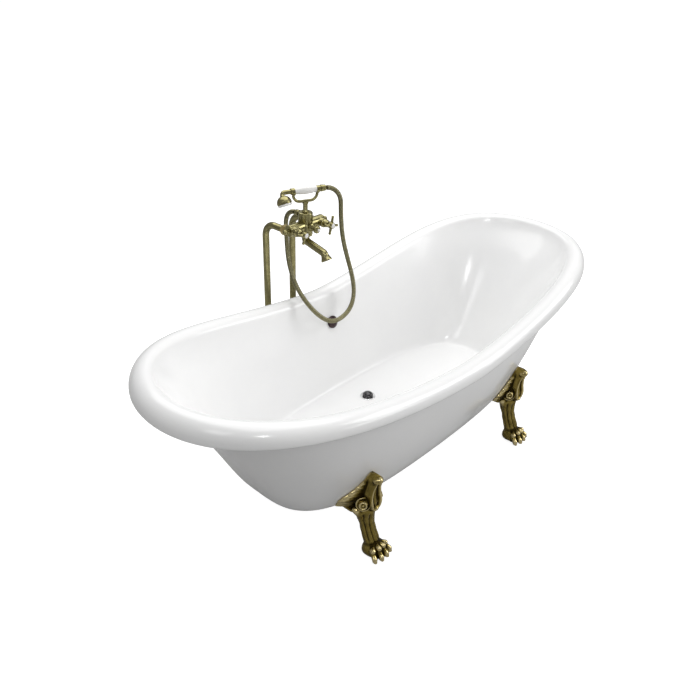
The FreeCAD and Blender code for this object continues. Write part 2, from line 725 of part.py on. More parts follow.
def foot_shape():
    """Leaf and wings against the tub, knee, shank, paw and four toes, toes towards +Y."""
    wing = float(size.foot_wing_span)
    knee = float(size.foot_knee_width)
    shank = float(size.foot_shank_width)
    knee_height = float(size.foot_knee_height)
    wing_height = float(size.foot_wing_height)
    leaf_height = float(size.foot_leaf_height)
    shank_height = float(size.foot_shank_height)
    knee_out = -float(size.foot_knee_lean)
    leaf_out = -float(size.foot_leaf_lean)
    rows = [
        (knee_out * 0.3, float(size.paw_height) - 12, shank * 1.25, shank * 1.25),
        (knee_out * 0.55, (float(size.paw_height) + shank_height) / 2 - 8, shank * 1.05, shank),
        (knee_out * 0.75, shank_height, shank, shank * 0.95),
        (knee_out * 0.95, (shank_height + knee_height) / 2, shank * 1.15, shank * 1.05),
        (knee_out, knee_height, knee, shank * 1.4),
        (knee_out, wing_height, wing, shank * 1.5),
        (knee_out * 0.86, (wing_height * 2 + leaf_height) / 3, wing * 0.72, shank * 1.1),
        (leaf_out * 1.25, (wing_height + leaf_height * 2) / 3, wing * 0.44, shank * 0.65),
        (leaf_out, leaf_height, wing * 0.14, shank * 0.3),
    ]
    leg = band([leg_section(*row) for row in rows]).cut(tub_outside)
    sole = float(size.foot_pad_thickness)
    paw = Part.makeSphere(1)
    stretch = FreeCAD.Matrix()
    stretch.scale(float(size.paw_width) / 2, float(size.paw_length) / 2, float(size.paw_height))
    paw = paw.transformGeometry(stretch)
    paw.translate(foot_centre + UP * sole)
    toe = float(size.toe_radius)
    for step in (-1.5, -0.5, 0.5, 1.5):
        reach = float(size.paw_length) / 2 * (1 - 0.12 * step * step)
        knuckle = foot_centre + Vector(step * float(size.paw_width) * 0.27, reach - toe, sole + toe * 1.1)
        paw = paw.fuse(Part.makeSphere(toe * 1.1, knuckle))
        claw = Part.makeCone(toe * 0.75, toe * 0.25, toe * 1.7, knuckle + Vector(0, toe * 0.4, 0),
                             Vector(0, 0.8, -0.62))
        paw = paw.fuse(claw)
    below = Part.makeBox(400, 400, 100, foot_centre + Vector(-200, -200, sole - 100))
    tongue_top = float(size.skin_base_height)
    inner_end = float(size.tongue_reach)
    tongue = Part.makeBox(float(size.tongue_width), inner_end - 20, float(size.tongue_thickness),
                          foot_centre + Vector(-float(size.tongue_width) / 2, -inner_end,
                                               tongue_top - float(size.tongue_thickness)))
    holes = holes_in_tub.copy()
    return leg.fuse(paw).cut(below).fuse(tongue.cut(tub_outside)).cut(holes).removeSplitter()


foot = foot_shape()
for along, side_x in (("left", -1), ("right", 1)):
    for across, side_y in (("near", -1), ("far", 1)):
        shape = foot
        if side_x < 0:
            shape = shape.mirror(Vector(0, 0, 0), RIGHT)
        if side_y < 0:
            shape = shape.mirror(Vector(0, 0, 0), BACK)
        feature("foot_%s_%s" % (across, along), shape, tub_base)

pads = []
for side_x in (-1, 1):
    for side_y in (-1, 1):
        pad_base = (size.foot_spacing_length / 2 * side_x - size.drain_from_middle_length,
                    size.foot_spacing_width / 2 * side_y - size.drain_from_middle_width, 0)
        pads.append(cylinder(size.foot_pad_radius, size.foot_pad_thickness, pad_base))
group("foot_pads", pads)

tongue_low = size.skin_base_height - size.tongue_thickness
head_low = tongue_low - size.foot_washer_thickness - size.foot_bolt_head_height
board_top = size.basin_floor_height - size.shell_thickness
bolts = []
washers = []
nuts = []
for x, y in bolt_places:
    head = hexagon(size.foot_bolt_head_radius, size.foot_bolt_head_height, (x, y, head_low))
    shank = cylinder(size.foot_bolt_radius, board_top - head_low, (x, y, head_low))
    bolt = document.addObject("Part::Fuse", "bolt")
    bolt.Base = head
    bolt.Tool = shank
    bolts.append(bolt)
    washers.append(washer(size.foot_washer_radius, size.foot_bolt_radius + size.seat_clearance,
                          size.foot_washer_thickness, (x, y, tongue_low - size.foot_washer_thickness)))
    nuts.append(nut(size.foot_nut_radius, size.foot_bolt_radius + size.seat_clearance, size.foot_nut_height,
                    (x, y, board_top - size.foot_nut_height)))
group("foot_bolts", bolts)
group("foot_washers", washers)
group("foot_nuts", nuts)

# ---- waste ----

on_drain = (0, 0, size.basin_floor_height)


def drain_flange_shape():
    """Plate, threaded tail, and a guide on three arms for the stopper's stem."""
    plate = float(size.drain_flange_height)
    tail = float(size.drain_tail_length)
    bore = float(size.drain_tail_bore)
    hub_low = -float(size.drain_hub_height) - 8
    shape = lathe([(bore, -tail), (size.drain_tail_radius, -tail), (size.drain_tail_radius, 0),
                   (size.drain_flange_radius, 0),
                   ((float(size.drain_flange_radius) - 0.5, plate * 0.75),
                    (float(size.drain_flange_radius) - 3, plate)),
                   (bore + 2, plate - 0.4), (bore, plate - 2)])
    hub_height = float(size.drain_hub_height)
    hub = Part.makeCylinder(float(size.drain_hub_radius), hub_height, Vector(0, 0, hub_low))
    for turn in (0, 120, 240):
        arm = Part.makeBox(bore + 1, float(size.drain_spoke_width), hub_height,
                           Vector(0, -float(size.drain_spoke_width) / 2, hub_low))
        arm.rotate(Vector(0, 0, 0), UP, turn)
        hub = hub.fuse(arm)
    stem_radius = float(size.stopper_stem_radius + size.running_clearance)
    return shape.fuse(hub).cut(Part.makeCylinder(stem_radius, HOLE, DOWN * (HOLE - plate)))


feature("drain_flange", drain_flange_shape(), on_drain)
stopper_low = size.drain_flange_height + size.stopper_seal_thickness + size.seat_clearance
dome = float(size.stopper_radius)
edge = float(size.stopper_edge)
rise = float(size.stopper_rise)
feature("stopper", lathe([(0, -float(size.stopper_stem_length)),
                          (size.stopper_stem_radius, -float(size.stopper_stem_length)),
                          (size.stopper_stem_radius, 0), (dome, 0), (dome, edge),
                          ((dome * 0.6, edge + (rise - edge) * 0.8), (0, rise))]),
        (0, 0, size.basin_floor_height + stopper_low))
seal_low = size.basin_floor_height + size.drain_flange_height + size.seat_clearance
ring("stopper_seal", size.stopper_radius - 1.5, size.stopper_stem_radius + size.seat_clearance,
     size.stopper_seal_thickness, (0, 0, seal_low))

BODY_WALL = 4
BODY_LAP = 12
PIPE_SOCKET = 14
PIPE_LAP = 13
under_floor = size.basin_floor_height - size.shell_thickness
ring("drain_gasket", size.drain_gasket_radius, size.drain_tail_radius + size.seat_clearance,
     size.drain_gasket_thickness, (0, 0, under_floor - size.drain_gasket_thickness))
body_low = under_floor - size.drain_gasket_thickness - size.drain_body_height
thread_low = size.basin_floor_height - size.drain_tail_length - 2 - body_low
turned("drain_body", [
    (size.waste_bore, 0),
    (size.waste_bore + BODY_WALL, 0),
    (size.waste_bore + BODY_WALL, BODY_LAP + 4),
    (size.drain_body_radius, BODY_LAP * 2),
    (size.drain_body_radius, size.drain_body_height - size.drain_body_flange),
    (size.drain_gasket_radius, size.drain_body_height - size.drain_body_flange),
    (size.drain_gasket_radius, size.drain_body_height),
    (size.drain_tail_radius + size.seat_clearance, size.drain_body_height),
    (size.drain_tail_radius + size.seat_clearance, thread_low),
    (size.waste_bore, thread_low),
], (0, 0, body_low))

tee_top = body_low + BODY_LAP
tee_low = tee_top - size.waste_tee_height
branch_height = float(size.waste_tee_height) * 0.42
branch_end = float(size.waste_tee_radius) + 16
socket = float(size.waste_tail_socket)


def waste_tee_shape():
    """Upright body with a socket at both ends and a branch towards the overflow pipe."""
    radius = float(size.waste_tee_radius)
    height = float(size.waste_tee_height)
    body = Part.makeCylinder(radius, height)
    branch = UP * branch_height
    branch_radius = float(size.overflow_pipe_radius) + 5
    body = body.fuse(Part.makeCylinder(branch_radius, branch_end, branch, BACK))
    body = body.cut(Part.makeCylinder(float(size.waste_bore), height))
    body = body.cut(Part.makeCylinder(float(size.waste_tail_radius + size.seat_clearance), socket))
    top_radius = float(size.waste_bore + size.seat_clearance) + BODY_WALL
    top_depth = BODY_LAP + float(size.seat_clearance)
    body = body.cut(Part.makeCylinder(top_radius, top_depth, UP * (height - top_depth)))
    body = body.cut(Part.makeCylinder(float(size.overflow_pipe_bore), branch_end, branch, BACK))
    pipe_radius = float(size.overflow_pipe_radius + size.seat_clearance)
    pipe_start = branch + BACK * (branch_end - PIPE_SOCKET)
    return body.cut(Part.makeCylinder(pipe_radius, PIPE_SOCKET, pipe_start, BACK))


feature("waste_tee", waste_tee_shape(), (0, 0, tee_low))
nut_low = tee_low - size.slip_nut_height
tail_top = tee_low + size.waste_tail_socket - 1
turned("waste_tail", [
    (size.waste_bore, 0),
    (size.waste_tail_radius, 0),
    (size.waste_tail_radius, nut_low),
    (size.waste_tail_radius - size.seat_clearance, nut_low),
    (size.waste_tail_radius - size.seat_clearance, tail_top),
    (size.waste_bore, tail_top),
], (0, 0, 0))
group("slip_nut", [
    nut(size.slip_nut_radius, size.waste_tail_radius, size.slip_nut_height, (0, 0, nut_low))])

plate_radius = float(size.overflow_plate_radius)
plate_height = float(size.overflow_plate_height)


def along_wall(label, shape, distance):
    """A sub-part on the overflow's own axis, its +Z into the basin."""
    item = document.addObject("Part::Feature", label)
    item.Shape = shape
    item.Placement = Placement(overflow_point + overflow_normal * distance, Rotation(UP, overflow_normal))
    return node(item, label)


screw_radius = float(size.overflow_screw_radius)
screw_bore = screw_radius + float(size.seat_clearance)
wall_gap = float(size.overflow_gap)
along_wall("overflow_plate", lathe([(screw_bore, 0), (plate_radius, 0), (plate_radius, plate_height / 3),
                                    ((plate_radius * 0.62, plate_height * 0.8), (6, plate_height)),
                                    (screw_bore, plate_height)]), wall_gap)
along_wall("overflow_screw", lathe([(0, -18), (screw_radius, -18), (screw_radius, 0), (4.5, 0), (4.5, 1),
                                    ((3, 2.1), (0, 2.5))]), wall_gap + plate_height + float(size.face_gap))
back_of_wall = float(size.shell_thickness + size.overflow_back_gap)
gasket = float(size.overflow_gasket_thickness)
along_wall("overflow_gasket", lathe([
    (size.overflow_hole_radius, 0),
    (size.overflow_cup_radius, 0),
    (size.overflow_cup_radius, gasket),
    (size.overflow_hole_radius, gasket),
]), -back_of_wall - gasket)
cup = float(size.overflow_cup_radius)
depth = float(size.overflow_cup_depth)
cup_wall = 2.5


def overflow_cup_shape():
    """Shallow cup with a bar for the screw, and a spigot down to the pipe."""
    inner = cup - cup_wall
    bottom = cup_wall - depth
    shape = lathe([(0, -depth), (cup, -depth), (cup, 0), (inner, 0), (inner, bottom), (0, bottom)])
    bar = Part.makeBox(2 * cup - 2, 8, 5, Vector(1 - cup, -4, -9))
    shape = shape.fuse(bar).cut(Part.makeCylinder(screw_bore, depth, Vector(0, 0, -PIPE_SOCKET)))
    down = Rotation(UP, overflow_normal).inverted().multVec(DOWN)
    start = Vector(0, 0, -depth / 2)
    spigot = Part.makeCylinder(float(size.overflow_pipe_radius) + 2, cup + BODY_LAP, start, down)
    inside = lathe([(0, bottom), (inner, bottom), (inner, 1), (0, 1)])
    shape = shape.fuse(spigot.cut(inside))
    pipe_hole = Part.makeCylinder(float(size.overflow_pipe_radius + size.seat_clearance), PIPE_SOCKET,
                                  start + down * (cup - 0.5), down)
    waterway = Part.makeCylinder(float(size.overflow_pipe_bore), cup + PIPE_SOCKET, start, down)
    return shape.cut(waterway).cut(pipe_hole)


along_wall("overflow_cup", overflow_cup_shape(), -back_of_wall - gasket)
pipe_top = overflow_point - overflow_normal * (back_of_wall + gasket + depth / 2)
branch_level = float(tee_low) + branch_height
pipe_start = pipe_top + DOWN * cup
pipe_route = [pipe_start, pipe_start + DOWN * (PIPE_LAP + 9)] + pipe_bends + [
    Vector(0, pipe_bends[-1].y - float(size.overflow_pipe_bend) * 0.6, branch_level),
    Vector(0, branch_end - PIPE_LAP, branch_level),
]
pipe_path = rounded_path(pipe_route, size.overflow_pipe_bend)[0]
feature("overflow_pipe", tube(pipe_path, size.overflow_pipe_radius, size.overflow_pipe_bore))

# ---- risers and mixer ----

middle_x = size.tap_from_drain_length
middle_y = size.riser_from_drain_width - size.mixer_reach
middle_z = size.mixer_height
inlet_face = middle_y + size.inlet_length
riser_face = inlet_face + size.union_washer_thickness
inlet_level = middle_z - size.inlet_drop
sides = (("left", -1), ("right", 1))
side_places = [(name, sign, middle_x + size.inlet_spacing / 2 * sign) for name, sign in sides]
COLLAR = 3
NUT_SHOULDER = 2.5
collar_radius = float(size.riser_radius) + 1.5


def riser_shape():
    """Upright tube with a gooseneck, a collar for the union nut and a socket at its foot."""
    reach = float(riser_face - size.riser_from_drain_width)
    top = UP * float(inlet_level)
    route = [Vector(0, 0, 0), top, top + BACK * reach]
    shape = tube(rounded_path(route, size.riser_bend)[0], size.riser_radius, size.riser_bore)
    collar = Part.makeCylinder(collar_radius, COLLAR, route[-1], BACK)
    collar = collar.cut(Part.makeCylinder(float(size.riser_bore), COLLAR, route[-1], BACK))
    socket_cut = Part.makeCylinder(float(size.supply_socket_bore), float(size.supply_socket_depth))
    return shape.fuse(collar).cut(socket_cut)


riser = riser_shape()
for name, sign, x in side_places:
    feature("riser_" + name, riser, (x, size.riser_from_drain_width, 0))
    turned("floor_flange_" + name, [
        (size.riser_radius + size.seat_clearance, 0),
        (size.floor_flange_radius, 0),
        (size.floor_flange_radius, 3),
        (size.floor_flange_radius - 6, 6),
        (size.riser_radius + 6, size.floor_flange_height - 4),
        (size.riser_radius + 3.5, size.floor_flange_height),
        (size.riser_radius + size.seat_clearance, size.floor_flange_height),
    ], (x, size.riser_from_drain_width, 0))

union_start = riser_face + COLLAR + size.seat_clearance + NUT_SHOULDER


def union_nut_shape():
    """Hexagon nut that pulls the riser's collar onto the inlet."""
    length = float(size.union_nut_length)
    across = float(size.union_nut_radius)
    corners = [Rotation(UP, 60 * turn).multVec(Vector(across, 0, 0)) for turn in range(7)]
    body = Part.Face(Part.makePolygon(corners)).extrude(UP * length)
    small = across * 0.92
    rounding = lathe([(0, 0), (small, 0), (across, 2), (across, length - 2), (small, length), (0, length)])
    body = body.common(rounding)
    body = body.cut(Part.makeCylinder(float(size.riser_radius + size.seat_clearance), length))
    wide = collar_radius + float(size.seat_clearance)
    return body.cut(Part.makeCylinder(wide, length, UP * NUT_SHOULDER))


union_nut = union_nut_shape()
for name, sign, x in side_places:
    feature("union_nut_" + name, union_nut, (x, union_start, inlet_level), FRONT)
group("union_washers", [
    washer(size.riser_radius + 1, size.riser_bore, size.union_washer_thickness,
           (x, riser_face, inlet_level), FRONT)
    for name, sign, x in side_places])

bar_half = size.inlet_spacing / 2 + size.bar_overhang
valve_face = size.valve_stub_length
outlet_rise = size.barrel_rise - 12
DIVERTER_STEP = 3
OUTLET_STUB = 8
NUT_WALL = 3


def mixer_shape():
    """Cross bar, upright barrel, two inlets at the back, two valve stubs and a diverter stub."""
    def stub(radius, length, start, direction):
        return Part.makeCylinder(float(radius), float(length), start, direction)

    half = float(bar_half)
    offset = float(size.inlet_spacing) / 2
    barrel_low = Vector(0, 0, -float(size.barrel_drop))
    barrel_height = float(size.barrel_rise + size.barrel_drop)
    spread = float(size.bar_radius)
    body = stub(spread, 2 * half, Vector(-half, 0, 0), RIGHT)
    body = body.makeFillet(3, [edge for edge in body.Edges if edge.isClosed()])
    barrel = stub(size.barrel_radius, barrel_height, barrel_low, UP)
    barrel = barrel.makeFillet(4, [edge for edge in barrel.Edges if edge.isClosed()])
    body = body.fuse(barrel)
    inlet_radius = float(size.riser_radius)
    inlet_low = DOWN * float(size.inlet_drop)
    for sign in (-1, 1):
        middle = Vector(sign * offset, 0, 0)
        body = body.fuse(stub(inlet_radius, size.inlet_length, middle + inlet_low, BACK))
        body = body.fuse(stub(size.bonnet_radius - 1, valve_face, middle, FRONT))
    diverter_face = valve_face + DIVERTER_STEP
    body = body.fuse(stub(size.diverter_knob_radius - 1, diverter_face, Vector(0, 0, 0), FRONT))
    outlet = UP * float(outlet_rise)
    body = body.fuse(stub(size.hose_nut_radius - NUT_WALL, size.barrel_radius + OUTLET_STUB, outlet, BACK))
    water = float(size.waterway_radius)
    body = body.cut(stub(water, 2 * half - 8, Vector(4 - half, 0, 0), RIGHT))
    body = body.cut(stub(water, barrel_height - 5, barrel_low, UP))
    for sign in (-1, 1):
        middle = Vector(sign * offset, 0, 0)
        body = body.cut(stub(size.riser_bore, size.inlet_length, middle + inlet_low, BACK))
        body = body.cut(stub(water, valve_face, middle, FRONT))
    body = body.cut(stub(size.diverter_knob_radius / 2, diverter_face, Vector(0, 0, 0), FRONT))
    return body.cut(stub(size.hose_bore, HOLE, outlet, BACK))


feature("mixer_body", mixer_shape(), (middle_x, middle_y, middle_z))
ball = float(size.cap_ball_radius)
bar_caps = []
for name, sign, x in side_places:
    cap = document.addObject("Part::Feature", "bar_cap")
    cap.Shape = lathe([(0, 0), (7, 0), (7, 2), (4.5, 3.5), (4.5, 5),
                       ((ball, 5 + ball * 0.9), (0, 5 + ball * 1.85))])
    place(cap, (middle_x + bar_half * sign, middle_y, middle_z), RIGHT * sign)
    bar_caps.append(cap)
group("bar_caps", bar_caps)

bonnet_base = middle_y - valve_face
hub_gap = 1.0
INDEX_SEAT = 2
SPINDLE_INSIDE = 11
hub_base = bonnet_base - size.bonnet_length - hub_gap
spindle_length = SPINDLE_INSIDE + size.bonnet_length + hub_gap + size.handle_hub_length - 5.5


def handle_shape():
    """Cross handle: hub with four arms that end in balls."""
    hub_radius = float(size.handle_hub_radius)
    hub_length = float(size.handle_hub_length)
    shape = lathe([(0, 0), (hub_radius - 3, 0), (hub_radius - 1, 3), ((hub_radius, hub_length / 2),
                   (hub_radius - 1, hub_length - 3)), (float(size.index_radius) + 1.5, hub_length),
                   (0, hub_length)])
    reach = float(size.handle_arm_length)
    thin = float(size.handle_arm_radius)
    middle = Vector(0, 0, hub_length / 2)
    for turn in range(4):
        angle = math.radians(90 * turn + float(size.handle_rest_turn))
        outward = Vector(math.sin(angle), math.cos(angle), 0)
        arm = Part.makeCone(thin * 1.45, thin, reach, middle, outward)
        ball_end = Part.makeSphere(float(size.handle_ball_radius), middle + outward * reach)
        shape = shape.fuse(arm).fuse(ball_end)
    seat_radius = float(size.index_radius + size.seat_clearance)
    seat = Part.makeCylinder(seat_radius, INDEX_SEAT, UP * (hub_length - INDEX_SEAT))
    spindle_hole = Part.makeCylinder(float(size.spindle_radius), hub_length - 5)
    return shape.cut(seat).cut(spindle_hole).removeSplitter()


handle = handle_shape()
index_low = size.handle_hub_length - INDEX_SEAT + size.face_gap
for name, sign, x in side_places:
    turned("bonnet_" + name, [
        (size.spindle_radius + size.running_clearance, 0),
        (size.bonnet_radius, 0),
        (size.bonnet_radius, 5),
        (size.bonnet_radius - 2, 7),
        (size.bonnet_radius - 3, size.bonnet_length - 9),
        (size.bonnet_radius - 5, size.bonnet_length - 5),
        (size.bonnet_radius - 5, size.bonnet_length),
        (size.spindle_radius + size.running_clearance, size.bonnet_length),
    ], (x, bonnet_base, middle_z), FRONT)
    turned("spindle_" + name, [
        (0, 0),
        (size.spindle_radius, 0),
        (size.spindle_radius, spindle_length),
        (0, spindle_length),
    ], (x, bonnet_base + SPINDLE_INSIDE, middle_z), FRONT)
    feature("handle_" + name, handle, (x, hub_base, middle_z), FRONT)
    feature("index_" + name, lathe([(0, 0), (size.index_radius, 0), (size.index_radius, 1.5),
                                    ((float(size.index_radius) * 0.6, float(size.index_height) * 0.9),
                                     (0, size.index_height))]),
            (x, hub_base - index_low, middle_z), FRONT)

diverter_base = bonnet_base - DIVERTER_STEP
knob_base = diverter_base - size.diverter_bonnet_length - hub_gap
knob_length = float(size.diverter_knob_length)
knob_radius = float(size.diverter_knob_radius)
TIP_SEAT = 3
KNOB_SOCKET = 7
diverter_spindle_length = SPINDLE_INSIDE + size.diverter_bonnet_length + hub_gap + KNOB_SOCKET - 0.5
turned("diverter_bonnet", [
    (size.diverter_spindle_radius + size.running_clearance, 0),
    (size.diverter_knob_radius, 0),
    (size.diverter_knob_radius, 4),
    (size.diverter_knob_radius - 3, 6),
    (size.diverter_knob_radius - 4, size.diverter_bonnet_length),
    (size.diverter_spindle_radius + size.running_clearance, size.diverter_bonnet_length),
], (middle_x, diverter_base, middle_z), FRONT)
turned("diverter_spindle", [
    (0, 0),
    (size.diverter_spindle_radius, 0),
    (size.diverter_spindle_radius, diverter_spindle_length),
    (0, diverter_spindle_length),
], (middle_x, diverter_base + SPINDLE_INSIDE, middle_z), FRONT)


def diverter_knob_shape():
    """Round knob with a pointer ridge, bored for its spindle and its tip."""
    shape = lathe([(0, 0), (knob_radius * 0.6, 0), ((knob_radius * 0.94, knob_length * 0.2),
                   (knob_radius, knob_length * 0.5)), ((knob_radius * 0.9, knob_length * 0.8),
                   (float(size.diverter_tip_radius) + 1, knob_length)), (0, knob_length)])
    pointer = Part.makeBox(3, knob_radius * 1.2, knob_length * 0.35, Vector(-1.5, 0, knob_length * 0.3))
    shape = shape.fuse(pointer)
    shape = shape.cut(Part.makeCylinder(float(size.diverter_spindle_radius), KNOB_SOCKET))
    seat_radius = float(size.diverter_tip_radius + size.seat_clearance)
    return shape.cut(Part.makeCylinder(seat_radius, TIP_SEAT, UP * (knob_length - TIP_SEAT)))


feature("diverter_knob", diverter_knob_shape(), (middle_x, knob_base, middle_z), FRONT)
tip = float(size.diverter_tip_radius)
feature("diverter_tip", lathe([(0, 0), (tip, 0), (tip, 3.5),
                               ((tip * 0.75, 3.5 + tip * 0.7), (0, 3.5 + tip))]),
        (middle_x, knob_base - size.diverter_knob_length + TIP_SEAT - size.face_gap, middle_z), FRONT)

# ---- spout ----

spout_start = Vector(0, 0, -float(size.barrel_drop))
elbow = Vector(0, 0, -float(size.spout_drop))
last_bend = Vector(0, -float(size.spout_reach), -float(size.spout_drop + size.spout_fall))
bell_length = float(size.spout_bell_length)
outlet_tilt = math.radians(float(size.spout_outlet_tilt))
outlet_direction = Vector(0, -math.sin(outlet_tilt), -math.cos(outlet_tilt))
bell_top = last_bend + outlet_direction * float(size.spout_bend) * 0.45
spout_lip = bell_top + outlet_direction * bell_length
STRAIGHTENER_LIFT = 2


def spout_shape():
    """Bent tube under the mixer that ends in a flared bell pointing down and forward."""
    path = rounded_path([spout_start, elbow, last_bend, spout_lip], size.spout_bend)[0]
    bell_radius = float(size.spout_bell_radius)
    tube_radius = float(size.spout_radius)
    flare = lathe([(0, 0), (tube_radius - 0.2, 0), ((tube_radius + 1.2, bell_length * 0.25),
                   (bell_radius, bell_length * 0.75)), (bell_radius, bell_length), (0, bell_length)])
    flare.Placement = Placement(bell_top, Rotation(UP, outlet_direction))
    shape = rod(path, size.spout_radius).fuse(flare).cut(rod(path, size.spout_bore))
    mouth_depth = float(size.straightener_length + size.seat_clearance) + STRAIGHTENER_LIFT
    mouth_radius = bell_radius - NUT_WALL
    mouth = Part.makeCylinder(mouth_radius, mouth_depth, spout_lip, outlet_direction * -1)
    throat_start = spout_lip - outlet_direction * mouth_depth
    throat = Part.makeCone(mouth_radius, float(size.spout_bore), 6, throat_start, outlet_direction * -1)
    return shape.cut(mouth.fuse(throat))


feature("spout", spout_shape(), (middle_x, middle_y, middle_z))
turned("spout_collar", [
    (size.spout_radius + size.seat_clearance, 0),
    (size.spout_collar_radius - 2, 0),
    (size.spout_collar_radius, 3),
    (size.spout_collar_radius, size.spout_collar_length - 3),
    (size.spout_collar_radius - 3, size.spout_collar_length),
    (size.spout_radius + size.seat_clearance, size.spout_collar_length),
], (middle_x, middle_y, middle_z - size.barrel_drop), DOWN)


def straightener_shape():
    """Ring with a cross inside, which calms the water at the outlet."""
    radius = float(size.spout_bell_radius - size.seat_clearance) - NUT_WALL
    length = float(size.straightener_length)
    shape = Part.makeCylinder(radius, length).cut(Part.makeCylinder(radius - 2, length))
    for direction in (0, 60, 120):
        vane = Part.makeBox(2 * radius - 2, 1.2, length, Vector(1 - radius, -0.6, 0))
        vane.rotate(Vector(0, 0, 0), UP, direction)
        shape = shape.fuse(vane)
    return shape


straightener_base = spout_lip - outlet_direction * STRAIGHTENER_LIFT
feature("flow_straightener", straightener_shape(),
        (middle_x, middle_y + straightener_base.y, middle_z + straightener_base.z), outlet_direction * -1)

# ---- cradle ----

post_base = middle_z + size.barrel_rise
cradle_base = post_base + size.post_length
handset_level = cradle_base + size.cradle_bar_radius + size.cradle_depth
turned("cradle_post", [
    (0, 0),
    (size.post_radius + 3, 0),
    (size.post_radius + 3, 3),
    (size.post_radius, 6),
    (size.post_radius, size.post_length - 5),
    (size.post_radius + 2, size.post_length - 3),
    (size.post_radius + 2, size.post_length),
    (0, size.post_length),
], (middle_x, middle_y, post_base))
saddle_inner = size.grip_end_radius + size.seat_clearance
saddle_outer = saddle_inner + size.saddle_wall


def swivelled(shape):
    """A shape turned with the cradle about the post."""
    shape.rotate(Vector(0, 0, 0), UP, -float(size.cradle_turn))
    return shape


def cradle_shape():
    """U-shaped bar that carries a half-round saddle at each end, open upwards."""
    half = float(size.grip_length + size.saddle_width) / 2
    top = float(size.cradle_bar_radius + size.cradle_depth)
    inner = float(saddle_inner)
    outer = float(saddle_outer)
    middle = float(size.cradle_bar_radius)
    arm_top = top - inner - float(size.saddle_wall) * 0.5
    route = [Vector(-half, 0, arm_top), Vector(-half, 0, middle), Vector(half, 0, middle),
             Vector(half, 0, arm_top)]
    bend = min(float(size.cradle_bend), arm_top - middle - 1)
    shape = rod(rounded_path(route, bend)[0], size.cradle_bar_radius)
    for sign in (-1, 1):
        start = Vector(sign * half - float(size.saddle_width) / 2, 0, top)
        saddle = Part.makeCylinder(outer, float(size.saddle_width), start, RIGHT, 360)
        saddle = saddle.cut(Part.makeBox(60, 80, 80, Vector(sign * half - 30, -40, top)))
        shape = shape.fuse(saddle)
        shape = shape.cut(Part.makeCylinder(inner, 60, Vector(sign * half - 30, 0, top), RIGHT))
    foot_pin = Part.makeCylinder(float(size.post_radius), middle, Vector(0, 0, 0))
    return swivelled(shape.fuse(foot_pin))


feature("cradle", cradle_shape(), (middle_x, middle_y, cradle_base))

# ---- handset, worked out along X with its head to the left, then turned with the cradle ----

grip_half = float(size.grip_length) / 2
handset_base = (middle_x, middle_y, handset_level)
belly = float(size.grip_middle_radius)
end = float(size.grip_end_radius)
bore = float(size.grip_bore)
GRIP_BAND = 4
ferrule = float(size.ferrule_length)


def grip_shape():
    """Porcelain grip, swollen between its straight ends."""
    shape = lathe([(bore, -grip_half), (end, -grip_half), (end, GRIP_BAND - grip_half),
                   ((belly, 0), (end, grip_half - GRIP_BAND)), (end, grip_half), (bore, grip_half)])
    shape.rotate(Vector(0, 0, 0), BACK, 90)
    return swivelled(shape)


feature("handset_grip", grip_shape(), handset_base)
pitch = math.radians(float(size.handset_head_pitch))
lean = math.tan(math.radians(float(size.handset_head_lean)))
face_direction = Vector(lean, -math.sin(pitch), -math.cos(pitch)).normalize()
neck_corner = Vector(-grip_half - float(size.handset_neck_length), 0, 0)
head_top = neck_corner + face_direction * float(size.handset_head_drop)
head_length = float(size.handset_head_length)
head_radius = float(size.handset_head_radius)
neck_radius = float(size.handset_neck_radius)
bell_start = 2 + float(size.face_gap)
plug_radius = float(size.spray_plug_radius)
plug_depth = float(size.spray_plug_depth) - 0.5


def neck_shape():
    """Sleeve on the grip, which a saddle holds, and a bent neck down to the bell."""
    route = [Vector(-grip_half, 0, 0), neck_corner, head_top + face_direction * 2]
    path = rounded_path(route, size.handset_neck_bend)[0]
    shape = rod(path, neck_radius)
    sleeve = lathe([(0, 0), (end, 0), (end, ferrule - 2), (neck_radius + 0.5, ferrule), (0, ferrule)])
    sleeve.rotate(Vector(0, 0, 0), BACK, -90)
    sleeve.translate(Vector(-grip_half, 0, 0))
    shape = shape.fuse(sleeve)
    return swivelled(shape.cut(rod(path, bore)))


feature("handset_neck", neck_shape(), handset_base)


def bell_shape():
    """Bell that opens to the spray face."""
    wall = 2.5
    rim = head_radius
    seat_radius = plug_radius + float(size.seat_clearance)
    seat = head_length - float(size.spray_plug_depth)
    return lathe([(bore, 0), (neck_radius + 2, 0),
                  ((rim * 0.74, head_length * 0.2), (rim, head_length * 0.62)),
                  (rim + 1, head_length * 0.76), (rim, head_length), (seat_radius, head_length),
                  (seat_radius, seat), (rim - wall - 3, seat),
                  ((rim * 0.6, head_length * 0.4), (bore, wall + 2))])


def turned_to_face(shape, distance):
    """Moves a piece from its own axis onto the head's axis."""
    shape.Placement = Placement(head_top + face_direction * distance, Rotation(UP, face_direction))
    return swivelled(shape)


feature("handset_head", turned_to_face(bell_shape(), bell_start), handset_base)


